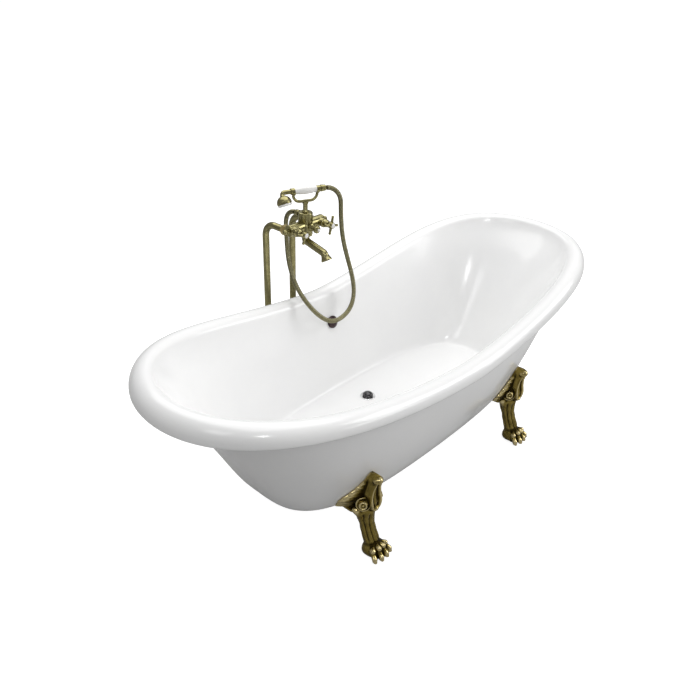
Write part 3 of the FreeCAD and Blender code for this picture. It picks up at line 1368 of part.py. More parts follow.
def spray_face_shape():
    """Pale ring and domed plate with rings of jets, plugged into the bell."""
    radius = float(size.spray_face_radius)
    thickness = float(size.spray_face_thickness)
    shape = lathe([(0, -plug_depth), (plug_radius, -plug_depth), (plug_radius, 0), (radius, 0),
                   ((radius, thickness * 0.5), (radius - 2, thickness)), (plug_radius, thickness),
                   (plug_radius - 1, thickness - 1), ((radius * 0.5, thickness - 0.2), (0, thickness))])
    jet_radius = float(size.spray_hole_radius)
    jets = [Part.makeCylinder(jet_radius, HOLE, UP * (-HOLE / 2))]
    for ring_number, count in ((1, 6), (2, 12), (3, 18)):
        for step in range(count):
            turn = 2 * math.pi * step / count
            distance = plug_radius * 0.27 * ring_number
            start = Vector(distance * math.cos(turn), distance * math.sin(turn), -HOLE / 2)
            jets.append(Part.makeCylinder(jet_radius, HOLE, start))
    return shape.cut(Part.makeCompound(jets))


face_start = bell_start + head_length + float(size.face_gap)
feature("spray_face", turned_to_face(spray_face_shape(), face_start), handset_base)
swivel = math.radians(float(size.cradle_turn))
towards_hose = Vector(math.cos(swivel), -math.sin(swivel), 0)


def on_handset(distance):
    """A point of the handset's axis, from the post towards the hose."""
    return (middle_x + distance * towards_hose.x, middle_y + distance * towards_hose.y, handset_level)


tail_start = size.grip_length / 2
tail_end = tail_start + size.handset_tail_length
turned("handset_tail", [
    (size.grip_bore, 0),
    (size.grip_end_radius, 0),
    (size.grip_end_radius, size.ferrule_length - 1),
    (size.hose_nut_radius - NUT_WALL, size.ferrule_length),
    (size.hose_nut_radius - NUT_WALL, size.handset_tail_length),
    (size.grip_bore, size.handset_tail_length),
], on_handset(tail_start), towards_hose)

# ---- hose ----

outlet_level = middle_z + outlet_rise
outlet_face = middle_y + size.barrel_radius + OUTLET_STUB
NUT_LAP = 5.5


def hose_nut_shape():
    """Knurled cone that holds the hose's end to a threaded stub."""
    radius = float(size.hose_nut_radius)
    length = float(size.hose_nut_length)
    inner = radius - NUT_WALL + float(size.seat_clearance)
    hole = float(size.hose_radius + size.seat_clearance)
    return lathe([(hole, length), (radius - 1.5, length), (radius, 4), (radius, 0), (inner, 0),
                  (inner, NUT_LAP + 1.5), (hole, NUT_LAP + 1.5)])


hose_nut = hose_nut_shape()
feature("hose_nut_handset", hose_nut, on_handset(tail_end - NUT_LAP), towards_hose)
feature("hose_nut_mixer", hose_nut, (middle_x, outlet_face - NUT_LAP, outlet_level), BACK)
washer_radius = size.hose_radius - 0.5
ring("hose_washer_handset", washer_radius, size.hose_bore, size.hose_washer_thickness,
     on_handset(tail_end), towards_hose)
ring("hose_washer_mixer", washer_radius, size.hose_bore, size.hose_washer_thickness,
     (middle_x, outlet_face, outlet_level), BACK)

hose_start = Vector(*[float(coordinate) for coordinate in on_handset(tail_end + size.hose_washer_thickness)])
hose_end = Vector(float(middle_x), float(outlet_face + size.hose_washer_thickness), float(outlet_level))
hose_route = [
    hose_start,
    hose_start + towards_hose * 17,
    Vector(2.6, 186, 867.2),
    Vector(15.2, 180.6, 857.3),
    Vector(24.4, 176.7, 843.5),
    Vector(29.2, 174.7, 827.3),
    Vector(31, 174.8, 806.5),
    Vector(31.2, 173.8, 776),
    Vector(33.5, 172, 738),
    Vector(38.5, 170, 701),
    Vector(47.6, 167, 662),
    Vector(58.5, 163, 622),
    Vector(69, 157.5, 581),
    Vector(75, 151, 543),
    Vector(74, 144.5, 508),
    Vector(63, 138, 478.5),
    Vector(41, 131, 459),
    Vector(11, 124, 450),
    Vector(-25, 117.5, 448.5),
    Vector(-60, 113.5, 455),
    Vector(-89, 116, 469.5),
    Vector(-109, 127.5, 487.5),
    Vector(-119.5, 148, 506),
    Vector(-122.5, 174, 524.5),
    Vector(-120.5, 203, 544.5),
    Vector(-114.5, 233, 568),
    Vector(-105, 262, 598),
    Vector(-94.5, 285, 631),
    Vector(-84, 301, 665),
    Vector(-76.5, 311, 697),
    Vector(-73.2, 315.8, 726),
    Vector(-74, 315.4, 745.8),
    Vector(-75.8, 310, 762.4),
    Vector(-77.8, 300.2, 776.6),
    Vector(-79.2, 286.6, 786.7),
    hose_end + Vector(0, 17, 0),
    hose_end,
]


def path_frames(path, distances):
    """Centre, steady side vector and tangent at distances along a path."""
    frames = []
    side = None
    edges = path.OrderedEdges
    travelled = 0.0
    index = 0
    for distance in distances:
        while index < len(edges) - 1 and distance > travelled + edges[index].Length:
            travelled += edges[index].Length
            index += 1
        edge = edges[index]
        share = min(max(distance - travelled, 0.0), edge.Length)
        parameter = edge.getParameterByLength(share)
        tangent = edge.tangentAt(parameter)
        if side is None:
            side = UP
        side = (side - tangent * side.dot(tangent)).normalize()
        frames.append((edge.valueAt(parameter), side, tangent))
    return frames


def hose_shape():
    """One ribbed tube with its bore: each rib is four circles, and both ends run plain."""
    path, radii = rounded_path(hose_route, None)
    print("hose length %.0f, bend radii:" % path.Length, ["%.0f" % radius for radius in radii])
    plain = 2 * float(size.hose_radius)
    rib_count = 190
    pitch = (path.Length - 2 * plain) / rib_count
    crest = float(size.hose_radius)
    valley = crest - float(size.hose_rib_depth)
    stations = [(0.0, valley)]
    for rib in range(rib_count):
        start = plain + rib * pitch
        for share, radius in ((0.12, valley), (0.30, crest), (0.82, crest), (1.0, valley)):
            stations.append((start + share * pitch, radius))
    stations.append((path.Length, valley))
    frames = path_frames(path, [distance for distance, radius in stations])
    sections = []
    for (centre, side, tangent), (distance, radius) in zip(frames, stations):
        axis = Rotation(side, tangent.cross(side), tangent, "ZXY")
        circle = Part.Circle(Vector(0, 0, 0), UP, radius).toShape()
        circle.Placement = Placement(centre, axis)
        sections.append(Part.Wire(circle))
    outside = Part.makeLoft(sections, True, True)
    inside = rod(path, size.hose_bore)
    shape = outside.cut(inside)
    mean = math.pi * ((crest - 0.4 * float(size.hose_rib_depth)) ** 2 - float(size.hose_bore) ** 2)
    print("hose volume %.0f, section times length %.0f" % (shape.Volume, mean * path.Length))
    return shape


feature("shower_hose", hose_shape())

# ---- check and export ----

document.recompute()
for item in document.Objects:
    if "Invalid" in item.State or "Error" in item.State:
        raise RuntimeError("%s failed: %s" % (item.Name, item.State))
os.makedirs("parts", exist_ok=True)
for item in nodes:
    shape = item.Shape
    if shape.isNull() or not shape.isValid():
        raise RuntimeError("%s has no valid shape" % item.Label)
    print("%-22s solids %d volume %.0f" % (item.Label, len(shape.Solids), shape.Volume))
    shape.exportStep("parts/%s.step" % item.Label)
print("%d nodes" % len(nodes))
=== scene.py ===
import bpy
import json
import math
import numpy as np
from mathutils import Matrix


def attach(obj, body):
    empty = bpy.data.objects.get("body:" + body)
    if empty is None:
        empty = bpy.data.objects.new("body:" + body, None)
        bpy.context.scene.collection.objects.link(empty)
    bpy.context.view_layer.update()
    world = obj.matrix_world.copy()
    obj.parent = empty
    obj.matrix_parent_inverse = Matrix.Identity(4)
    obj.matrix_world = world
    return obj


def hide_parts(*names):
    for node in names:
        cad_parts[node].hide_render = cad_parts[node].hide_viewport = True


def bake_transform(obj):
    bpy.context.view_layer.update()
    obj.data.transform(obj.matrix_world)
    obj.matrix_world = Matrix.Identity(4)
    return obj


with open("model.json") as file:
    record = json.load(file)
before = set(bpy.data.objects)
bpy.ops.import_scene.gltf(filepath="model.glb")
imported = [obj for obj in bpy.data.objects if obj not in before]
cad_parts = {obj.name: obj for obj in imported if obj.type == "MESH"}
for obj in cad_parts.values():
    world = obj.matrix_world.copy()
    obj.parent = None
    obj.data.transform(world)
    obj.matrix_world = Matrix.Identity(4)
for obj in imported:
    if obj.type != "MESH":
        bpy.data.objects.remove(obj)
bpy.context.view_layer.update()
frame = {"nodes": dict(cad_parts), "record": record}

# Clawfoot bathtub: looks over the CAD frame. x runs along the tub, y towards the mixer, z up.
# The dictionaries of the pieces are in millimetres; finishes, studio and meshes are in metres.

mm = 0.001


# mesh tools

def gridFaces(rows, columns):
    # quads between neighbouring rows, closed round the columns
    here = np.arange(rows * columns).reshape(rows, columns)
    beside = np.roll(here, -1, axis=1)
    return np.stack([here[:-1], beside[:-1], beside[1:], here[1:]], axis=-1).reshape(-1, 4)


def closedSkin(points):
    # a grid closed round its columns; each end row is closed by a fan to its middle
    rows, columns = points.shape[:2]
    verts = points.reshape(-1, 3)
    middles = np.stack([points[0].mean(axis=0), points[-1].mean(axis=0)])
    ring = np.arange(columns)
    beside = np.roll(ring, -1)
    start, end = len(verts), len(verts) + 1
    top = (rows - 1) * columns
    fans = np.concatenate([
        np.stack([np.full(columns, start), beside, ring], axis=-1),
        np.stack([np.full(columns, end), top + ring, top + beside], axis=-1)])
    return np.concatenate([verts, middles]), gridFaces(rows, columns), fans


def ringSkin(points):
    # a grid closed both ways, for a sheet with a hole
    rows, columns = points.shape[:2]
    quads = gridFaces(rows + 1, columns) % (rows * columns)
    return points.reshape(-1, 3), quads, np.zeros((0, 3), int)


def outward(verts, quads, tris):
    # turns the faces over when the shell's signed volume is negative
    corners = np.concatenate([tris, quads[:, [0, 1, 2]], quads[:, [0, 2, 3]]])
    a, b, c = verts[corners[:, 0]], verts[corners[:, 1]], verts[corners[:, 2]]
    if np.einsum("ij,ij->i", a, np.cross(b, c)).sum() < 0:
        return verts, quads[:, ::-1], tris[:, ::-1]
    return verts, quads, tris


def makePiece(name, shells, body, slot, stands, sharp=None, hollow=None):
    # one object from several shells, in the row frame; hollow is read by finishes that paint
    # shade where it is high and a highlight where it is below zero
    verts, faces, offset = [], [], 0
    for shell in shells:
        points, quads, tris = outward(*shell)
        verts.append(points)
        faces += (quads + offset).tolist() + (tris + offset).tolist()
        offset += len(points)
    mesh = bpy.data.meshes.new(name)
    mesh.from_pydata(np.concatenate(verts).tolist(), [], faces)
    mesh.shade_smooth()
    if sharp:
        mesh.set_sharp_from_angle(angle=math.radians(sharp))
    if hollow is not None:
        layer = mesh.attributes.new("hollow", "FLOAT", "POINT")
        layer.data.foreach_set("value", np.asarray(hollow, dtype=np.float32))
    mesh.materials.append(slotMaterials[slot])
    piece = bpy.data.objects.new(name, mesh)
    bpy.context.scene.collection.objects.link(piece)
    if body:
        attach(piece, body)
    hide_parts(*stands)
    return piece


def unit(vector):
    # each vector over its own length
    return vector / np.linalg.norm(vector, axis=-1, keepdims=True)


def crossAxes(direction):
    # two axes across a direction, by cross products with an axis that isn't along it
    direction = unit(np.asarray(direction, float))
    helper = np.array([0.0, 0, 1]) if abs(direction[2]) < 0.9 else np.array([1.0, 0, 0])
    across = unit(np.cross(helper, direction))
    return across, np.cross(direction, across), direction


def steadyFrames(path):
    # two cross directions along a path, carried without twist
    tangent = unit(np.gradient(path, axis=0))
    side = crossAxes(tangent[0])[0]
    sides = []
    for direction in tangent:
        side = unit(side - direction * np.dot(side, direction))
        sides.append(side)
    sides = np.array(sides)
    return sides, np.cross(tangent, sides)


def sweptGrid(path, radius, sides):
    # a circle of changing radius carried along a path
    across, beside = steadyFrames(path)
    angle = np.linspace(0, 2 * math.pi, sides, endpoint=False)
    cosine, sine = np.cos(angle)[None, :, None], np.sin(angle)[None, :, None]
    ring = across[:, None] * cosine + beside[:, None] * sine
    return path[:, None] + ring * radius[:, None, None]


# materials

mottleValues = {
    "cloudDetail": 4, "grainDetail": 2,  # octaves of the two noises
    "span": (0.35, 0.65),                # the mottle's values at the low and the high colour
    "hollowRoughness": 0.22,             # added where the hollow attribute is full
    "rubbedAndHighlightFrom": (-0.3, -1.0),          # the hollow attribute where rubbed wear and painted highlight start and are full
}


def nodeGroup(name, sockets, outputs):
    # an empty shader group with named inputs and outputs
    group = bpy.data.node_groups.new(name, "ShaderNodeTree")
    for label, kind, value in sockets:
        socket = group.interface.new_socket(name=label, in_out="INPUT", socket_type=kind)
        socket.default_value = value
    for label, kind in outputs:
        group.interface.new_socket(name=label, in_out="OUTPUT", socket_type=kind)
    return group, group.nodes.new("NodeGroupInput"), group.nodes.new("NodeGroupOutput")


def mottleGroup():
    # soft clouds plus fine grain, mixed to one value around a half
    group, given, result = nodeGroup(
        "mottle",
        [("cloud scale", "NodeSocketFloat", 20.0), ("grain scale", "NodeSocketFloat", 400.0),
         ("grain share", "NodeSocketFloat", 0.3)],
        [("value", "NodeSocketFloat")])
    nodes, links = group.nodes, group.links
    place = nodes.new("ShaderNodeTexCoord")
    mix = nodes.new("ShaderNodeMix")
    for kind, side in (("cloud", "A"), ("grain", "B")):
        noise = nodes.new("ShaderNodeTexNoise")
        noise.inputs["Detail"].default_value = mottleValues[kind + "Detail"]
        links.new(place.outputs["Object"], noise.inputs["Vector"])
        links.new(given.outputs[kind + " scale"], noise.inputs["Scale"])
        links.new(noise.outputs["Fac"], mix.inputs[side])
    links.new(given.outputs["grain share"], mix.inputs["Factor"])
    links.new(mix.outputs["Result"], result.inputs["value"])
    return group


mottle = mottleGroup()


def tinted(nodes, links, colour, other, share):
    # a colour mixed with a second one by a share between 0 and 1
    mix = nodes.new("ShaderNodeMix")
    mix.data_type = "RGBA"
    given = [socket for socket in mix.inputs if socket.type == "RGBA"]
    given[1].default_value = (*other, 1)
    links.new(share, mix.inputs["Factor"])
    links.new(colour, given[0])
    return [socket for socket in mix.outputs if socket.type == "RGBA"][0]


def ranged(nodes, links, value, source, target=(0.0, 1.0)):
    # a value carried from one span to another, and held at its ends
    node = nodes.new("ShaderNodeMapRange")
    for label, limit in zip(("From Min", "From Max", "To Min", "To Max"), (*source, *target)):
        node.inputs[label].default_value = limit
    links.new(value, node.inputs["Value"])
    return node.outputs["Result"]


def finish(name, low, high, roughness, clouds, grain, grainShare=0.3, metallic=0.0, coat=0.0,
           bump=0.0, bumpDepth=0.0002, paintedShade=None, paintedShadeFrom=(0.0, 1.0), rubbedAndHighlight=None):
    # a principled surface whose colour and roughness follow the mottle between two values;
    # the painted shade colour gathers where the piece's hollow attribute is high, and the rubbed
    # colour, part wear and part painted highlight, lies on its raised places, where it is below
    # zero
    material = bpy.data.materials.new(name)
    material.use_nodes = True
    nodes, links = material.node_tree.nodes, material.node_tree.links
    surface = nodes["Principled BSDF"]
    surface.inputs["Metallic"].default_value = metallic
    surface.inputs["Coat Weight"].default_value = coat
    pattern = nodes.new("ShaderNodeGroup")
    pattern.node_tree = mottle
    pattern.inputs["cloud scale"].default_value = clouds
    pattern.inputs["grain scale"].default_value = grain
    pattern.inputs["grain share"].default_value = grainShare
    value, span = pattern.outputs["value"], mottleValues["span"]
    ramp = nodes.new("ShaderNodeValToRGB")
    for element, position, shade in zip(ramp.color_ramp.elements, span, (low, high)):
        element.position = position
        element.color = (*shade, 1)
    links.new(value, ramp.inputs["Fac"])
    colour = ramp.outputs["Color"]
    rough = ranged(nodes, links, value, span, (roughness[1], roughness[0]))
    # painted shade: a dark colour gathers where the hollow attribute is high
    if paintedShade:
        hollow = nodes.new("ShaderNodeAttribute")
        hollow.attribute_name = "hollow"
        depth = ranged(nodes, links, hollow.outputs["Fac"], paintedShadeFrom)
        colour = tinted(nodes, links, colour, paintedShade, depth)
        worn = nodes.new("ShaderNodeMath")
        worn.operation = "MULTIPLY_ADD"
        worn.inputs[1].default_value = mottleValues["hollowRoughness"]
        links.new(depth, worn.inputs[0])
        links.new(rough, worn.inputs[2])
        rough = worn.outputs["Value"]
    # painted highlight, partly rubbed wear: a lighter colour on the raised places
    if rubbedAndHighlight:
        raised = ranged(nodes, links, hollow.outputs["Fac"], mottleValues["rubbedAndHighlightFrom"])
        colour = tinted(nodes, links, colour, rubbedAndHighlight, raised)
    links.new(colour, surface.inputs["Base Color"])
    links.new(rough, surface.inputs["Roughness"])
    if bump:
        relief = nodes.new("ShaderNodeBump")
        relief.inputs["Strength"].default_value = bump
        relief.inputs["Distance"].default_value = bumpDepth
        links.new(value, relief.inputs["Height"])
        links.new(relief.outputs["Normal"], surface.inputs["Normal"])
    return material


finishes = {  # one for each material slot
    "white_acrylic": {
        "name": "white_acrylic", "low": (0.86, 0.86, 0.86), "high": (0.89, 0.89, 0.885),
        "roughness": (0.14, 0.2), "coat": 0.15, "clouds": 3, "grain": 60, "grainShare": 0.15,
        "bump": 0.04, "bumpDepth": 0.0004},
    "antique_brass_casting": {
        "name": "cast_antique_brass", "low": (0.20, 0.148, 0.034), "high": (0.35, 0.265, 0.07),
        "roughness": (0.14, 0.26), "metallic": 1.0, "clouds": 45, "grain": 700, "bump": 0.3,
        # painted shade in the casting's hollows; on its raised places rubbed wear and painted
        # highlight
        "bumpDepth": 0.0005, "paintedShade": (0.03, 0.02, 0.004), "paintedShadeFrom": (0.0, 0.75),
        "rubbedAndHighlight": (0.72, 0.60, 0.31)},
    "antique_brass": {
        "name": "antique_brass", "low": (0.25, 0.225, 0.105), "high": (0.36, 0.325, 0.155),
        "roughness": (0.18, 0.3), "metallic": 1.0, "clouds": 60, "grain": 900, "bump": 0.1},
    "polished_brass": {
        "name": "polished_brass", "low": (0.50, 0.38, 0.15), "high": (0.68, 0.54, 0.24),
        "roughness": (0.14, 0.26), "metallic": 1.0, "clouds": 60, "grain": 900, "bump": 0.06},
    "plain_brass": {
        "name": "plain_brass", "low": (0.50, 0.40, 0.18), "high": (0.64, 0.53, 0.26),
        "roughness": (0.28, 0.4), "metallic": 1.0, "clouds": 80, "grain": 1500, "bump": 0.1},
    "dark_bronze": {
        "name": "dark_bronze", "low": (0.035, 0.024, 0.026), "high": (0.085, 0.06, 0.06),
        "roughness": (0.3, 0.45), "metallic": 1.0, "clouds": 90, "grain": 900, "bump": 0.1},
    "dark_chrome": {
        "name": "dark_chrome", "low": (0.010, 0.010, 0.011), "high": (0.02, 0.019, 0.02),
        "roughness": (0.06, 0.1), "metallic": 0.5, "coat": 0.8, "clouds": 30, "grain": 600},
    "bright_chrome": {
        "name": "bright_chrome", "low": (0.72, 0.72, 0.72), "high": (0.82, 0.82, 0.82),
        "roughness": (0.08, 0.16), "metallic": 1.0, "clouds": 60, "grain": 900, "bump": 0.04},
    "porcelain": {
        "name": "porcelain", "low": (0.80, 0.79, 0.76), "high": (0.86, 0.85, 0.83),
        "roughness": (0.08, 0.14), "coat": 0.6, "clouds": 30, "grain": 300, "bump": 0.05},
    "rubber": {
        "name": "rubber", "low": (0.02, 0.02, 0.02), "high": (0.045, 0.045, 0.045),
        "roughness": (0.6, 0.8), "clouds": 60, "grain": 2000, "bump": 0.3},
    "zinc_steel": {
        "name": "zinc_steel", "low": (0.42, 0.42, 0.43), "high": (0.6, 0.6, 0.6),
        "roughness": (0.3, 0.5), "metallic": 1.0, "clouds": 120, "grain": 1500, "bump": 0.1},
    "waste_plastic": {
        "name": "waste_plastic", "low": (0.68, 0.68, 0.66), "high": (0.76, 0.76, 0.74),
        "roughness": (0.35, 0.5), "clouds": 20, "grain": 900, "bump": 0.1},
    "plywood": {
        "name": "plywood", "low": (0.44, 0.29, 0.15), "high": (0.62, 0.45, 0.26),
        "roughness": (0.5, 0.7), "clouds": 12, "grain": 240, "bump": 0.3},
    "brass_hose": {
        "name": "hose_brass", "low": (0.21, 0.195, 0.11), "high": (0.32, 0.30, 0.18),
        "roughness": (0.2, 0.34), "metallic": 1.0, "clouds": 80, "grain": 900,
        # painted shade in the grooves of the hose
        "paintedShade": (0.05, 0.038, 0.014), "paintedShadeFrom": (0.1, 1.0)},
}
slotMaterials = {slot: finish(**values) for slot, values in finishes.items()}
nodeSlots = {entry["node"]: entry["material_slot"] for entry in frame["record"]["subparts"]}
for nodeName, nodeObject in frame["nodes"].items():
    for place in nodeObject.material_slots:
        place.material = slotMaterials[nodeSlots[nodeName]]
print("materials ready")


# tub

tub = {
    "middle": (-8.0, -84.0), "length": 1750.0, "width": 700.0, "rimMiddle": 510.0,
    "rimEnd": 622.0, "squareness": 4.6, "sweep": 1.77, "softness": 0.44, "rollWidth": 69.0,
    "rollRise": 37.0, "rollDrop": 14.0, "rollTilt": 0.24, "lipSteps": (0.35, 0.7, 1.0),
    "shell": 6.0, "skin": 5.0, "skinInset": 43.0, "skinLean": (0.12, 0.92), "skinFall": 167.0,
    "base": (1082.0, 422.0), "baseReach": 42.5, "baseHeight": 151.0, "flatSquareness": 3.36,
    "floorHeight": 186.0, "floor": (1010.0, 360.0), "floorReach": 42.0,
    "wallLean": (0.40, 0.70), "wallFall": 150.0, "seat": 0.3, "drain": (8.0, 84.0),
    "basinHole": 19.5, "skinHole": 32.0,
    # how finely it is drawn: rows, rings round the drain, and the seam that is evened out
    "around": 288, "wallRows": 44, "rollRows": 30, "skinRows": 60, "basinRings": 26,
    "skinRings": 14, "seam": (5, 4), "seamPasses": 8, "rimPasses": 30, "sharp": 50,
}


def rimPlan(angle):
    # the rim's edge: |x/a|^n + (y/b)^2 = 1 met along the ray of an angle, with its normal
    a, b, power = tub["length"] / 2, tub["width"] / 2, tub["squareness"]
    across, along = np.cos(angle), np.sin(angle)
    scale = np.ones_like(angle)
    for step in range(tub["rimPasses"]):
        gap = np.abs(scale * across) ** power + (scale * along) ** 2 - 1
        slope = power * np.abs(across) ** power * scale ** (power - 1) + 2 * along ** 2 * scale
        scale -= gap / slope
    x, y = a * scale * across, b * scale * along
    normal = np.stack([np.sign(x) * power * np.abs(x / a) ** (power - 1) / a, 2 * y / b ** 2,
                       np.zeros_like(x)], axis=-1)
    return x, y, unit(normal)


def flatPlan(angle, length, width):
    # the edge of a flat: a superellipse met along the ray of an angle, with its normal
    power = tub["flatSquareness"]
    across, along = np.cos(angle), np.sin(angle)
    scale = (np.abs(across) ** power + np.abs(along) ** power) ** (-1 / power)
    x, y = length / 2 * scale * across, width / 2 * scale * along
    normal = np.stack([np.sign(x) * np.abs(2 * x / length) ** (power - 1) / length,
                       np.sign(y) * np.abs(2 * y / width) ** (power - 1) / width,
                       np.zeros_like(x)], axis=-1)
    return x, y, unit(normal)


def rimHeight(x):
    # half a cosine wave from the middle to the ends, with its share and its rise to powers
    share = np.minimum(1, np.abs(x) / (tub["length"] / 2))
    swing = (1 - np.cos(math.pi * share ** tub["sweep"])) / 2
    return tub["rimMiddle"] + (tub["rimEnd"] - tub["rimMiddle"]) * swing ** tub["softness"]


def wallRows(angle, top, normal, flat, height, lean, fall, reach, count):
    # a cubic curve from the flat's edge, leaving it level, up to the rim, reaching it leaning
    x, y, flatNormal = flatPlan(angle, *flat)
    foot = np.stack([x, y, np.full_like(x, height)], axis=-1)
    tilt = (lean[0] + lean[1] * np.abs(normal[:, 0]))[:, None]
    beforeTop = top + (np.array([0, 0, -1.0]) - normal * tilt) * fall
    share = np.linspace(0, 1, count)[:, None, None]
    rest = 1 - share
    return (foot * rest ** 3 + (foot + flatNormal * reach) * 3 * rest ** 2 * share
            + beforeTop * 3 * rest * share ** 2 + top * share ** 3)


def rowNormals(rows):
    # the cross product of the directions round the tub and up its wall
    around = np.roll(rows, -1, axis=1) - np.roll(rows, 1, axis=1)
    upward = np.gradient(rows, axis=0)
    return unit(np.cross(around, upward))


def skinRows(angle, count):
    # the outer skin, from the base to its seat under the lip of the roll
    x, y, normal = rimPlan(angle)
    below = tub["rollRise"] + tub["rollDrop"] + tub["seat"]
    top = np.stack([x, y, rimHeight(x) - below], axis=-1) - normal * tub["skinInset"]
    return wallRows(angle, top, normal, tub["base"], tub["baseHeight"], tub["skinLean"],
                    tub["skinFall"], tub["baseReach"], count)


def basinRows(angle):
    # wall from the basin floor, then half an ellipse over the roll and a flat lip under it
    x, y, normal = rimPlan(angle)
    half = tub["rollWidth"] / 2
    tilt = tub["rollTilt"] * np.abs(normal[:, 0])
    level = rimHeight(x) - tub["rollRise"]
    top = np.stack([x, y, level + half * tilt], axis=-1) - normal * 2 * half
    wall = wallRows(angle, top, normal, tub["floor"], tub["floorHeight"], tub["wallLean"],
                    tub["wallFall"], tub["floorReach"], tub["wallRows"])[:-1]
    turn = np.linspace(math.pi, -math.pi / 2, tub["rollRows"])[:, None]
    inset = half - half * np.cos(turn)
    rise = np.where(turn > 0, tub["rollRise"], tub["rollDrop"])
    height = level + rise * np.sin(turn) - (half - inset) * tilt
    edge = np.stack([x, y, np.zeros_like(x)], axis=-1)
    roll = edge[None] - normal[None] * inset[..., None]
    roll[..., 2] += height
    lip = tub["skinInset"] + tub["skin"] - half
    under = [roll[-1] - normal * lip * share for share in tub["lipSteps"]]
    rows = np.concatenate([wall, roll, np.stack(under)])
    first, last = len(wall) - tub["seam"][0], len(wall) + tub["seam"][1]
    for step in range(tub["seamPasses"]):
        around = (rows[first - 1:last - 1] + rows[first + 1:last + 1]) / 2
        rows[first:last] = (rows[first:last] + around) / 2
    return rows


def floorRings(row, angle, rings, radius):
    # level rings from a row to the round hole of the drain
    share = np.linspace(0, 1, rings + 1)[1:, None, None]
    x, y = tub["drain"]
    hole = np.stack([x + radius * np.cos(angle), y + radius * np.sin(angle), row[:, 2]], axis=-1)
    return row * (1 - share) + hole * share


def sheetGrid(rows, angle, thickness, outwardSign, flatRings, radius):
    # a sheet round its hole: the flat's rings, the wall, its lip, and the same again behind
    facing = rowNormals(rows) * outwardSign
    facing[0] = (0, 0, -outwardSign)
    behind = rows - facing * thickness
    near = unit(rows[-1] - rows[-2])
    lip = (rows[-1] + behind[-1]) / 2 + near * thickness / 2
    front = floorRings(rows[0], angle, flatRings, radius)[::-1]
    back = floorRings(behind[0], angle, flatRings, radius)
    return np.concatenate([front, rows, lip[None], behind[::-1], back])


tubAngles = np.linspace(0, 2 * math.pi, tub["around"], endpoint=False)
tubShift = np.array([tub["middle"][0], tub["middle"][1], 0.0])
tubSheets = {
    "tubShell": ("tub_shell", sheetGrid(basinRows(tubAngles), tubAngles, tub["shell"], -1,
                                        tub["basinRings"], tub["basinHole"])),
    "outerSkin": ("outer_skin", sheetGrid(skinRows(tubAngles, tub["skinRows"]), tubAngles,
                                          tub["skin"], 1, tub["skinRings"], tub["skinHole"])),
}
for pieceName, (node, grid) in tubSheets.items():
    makePiece(pieceName, [ringSkin((grid + tubShift) * mm)], "tub_and_mixer", "white_acrylic",
              [node], sharp=tub["sharp"])
print("tub ready")


# claw feet

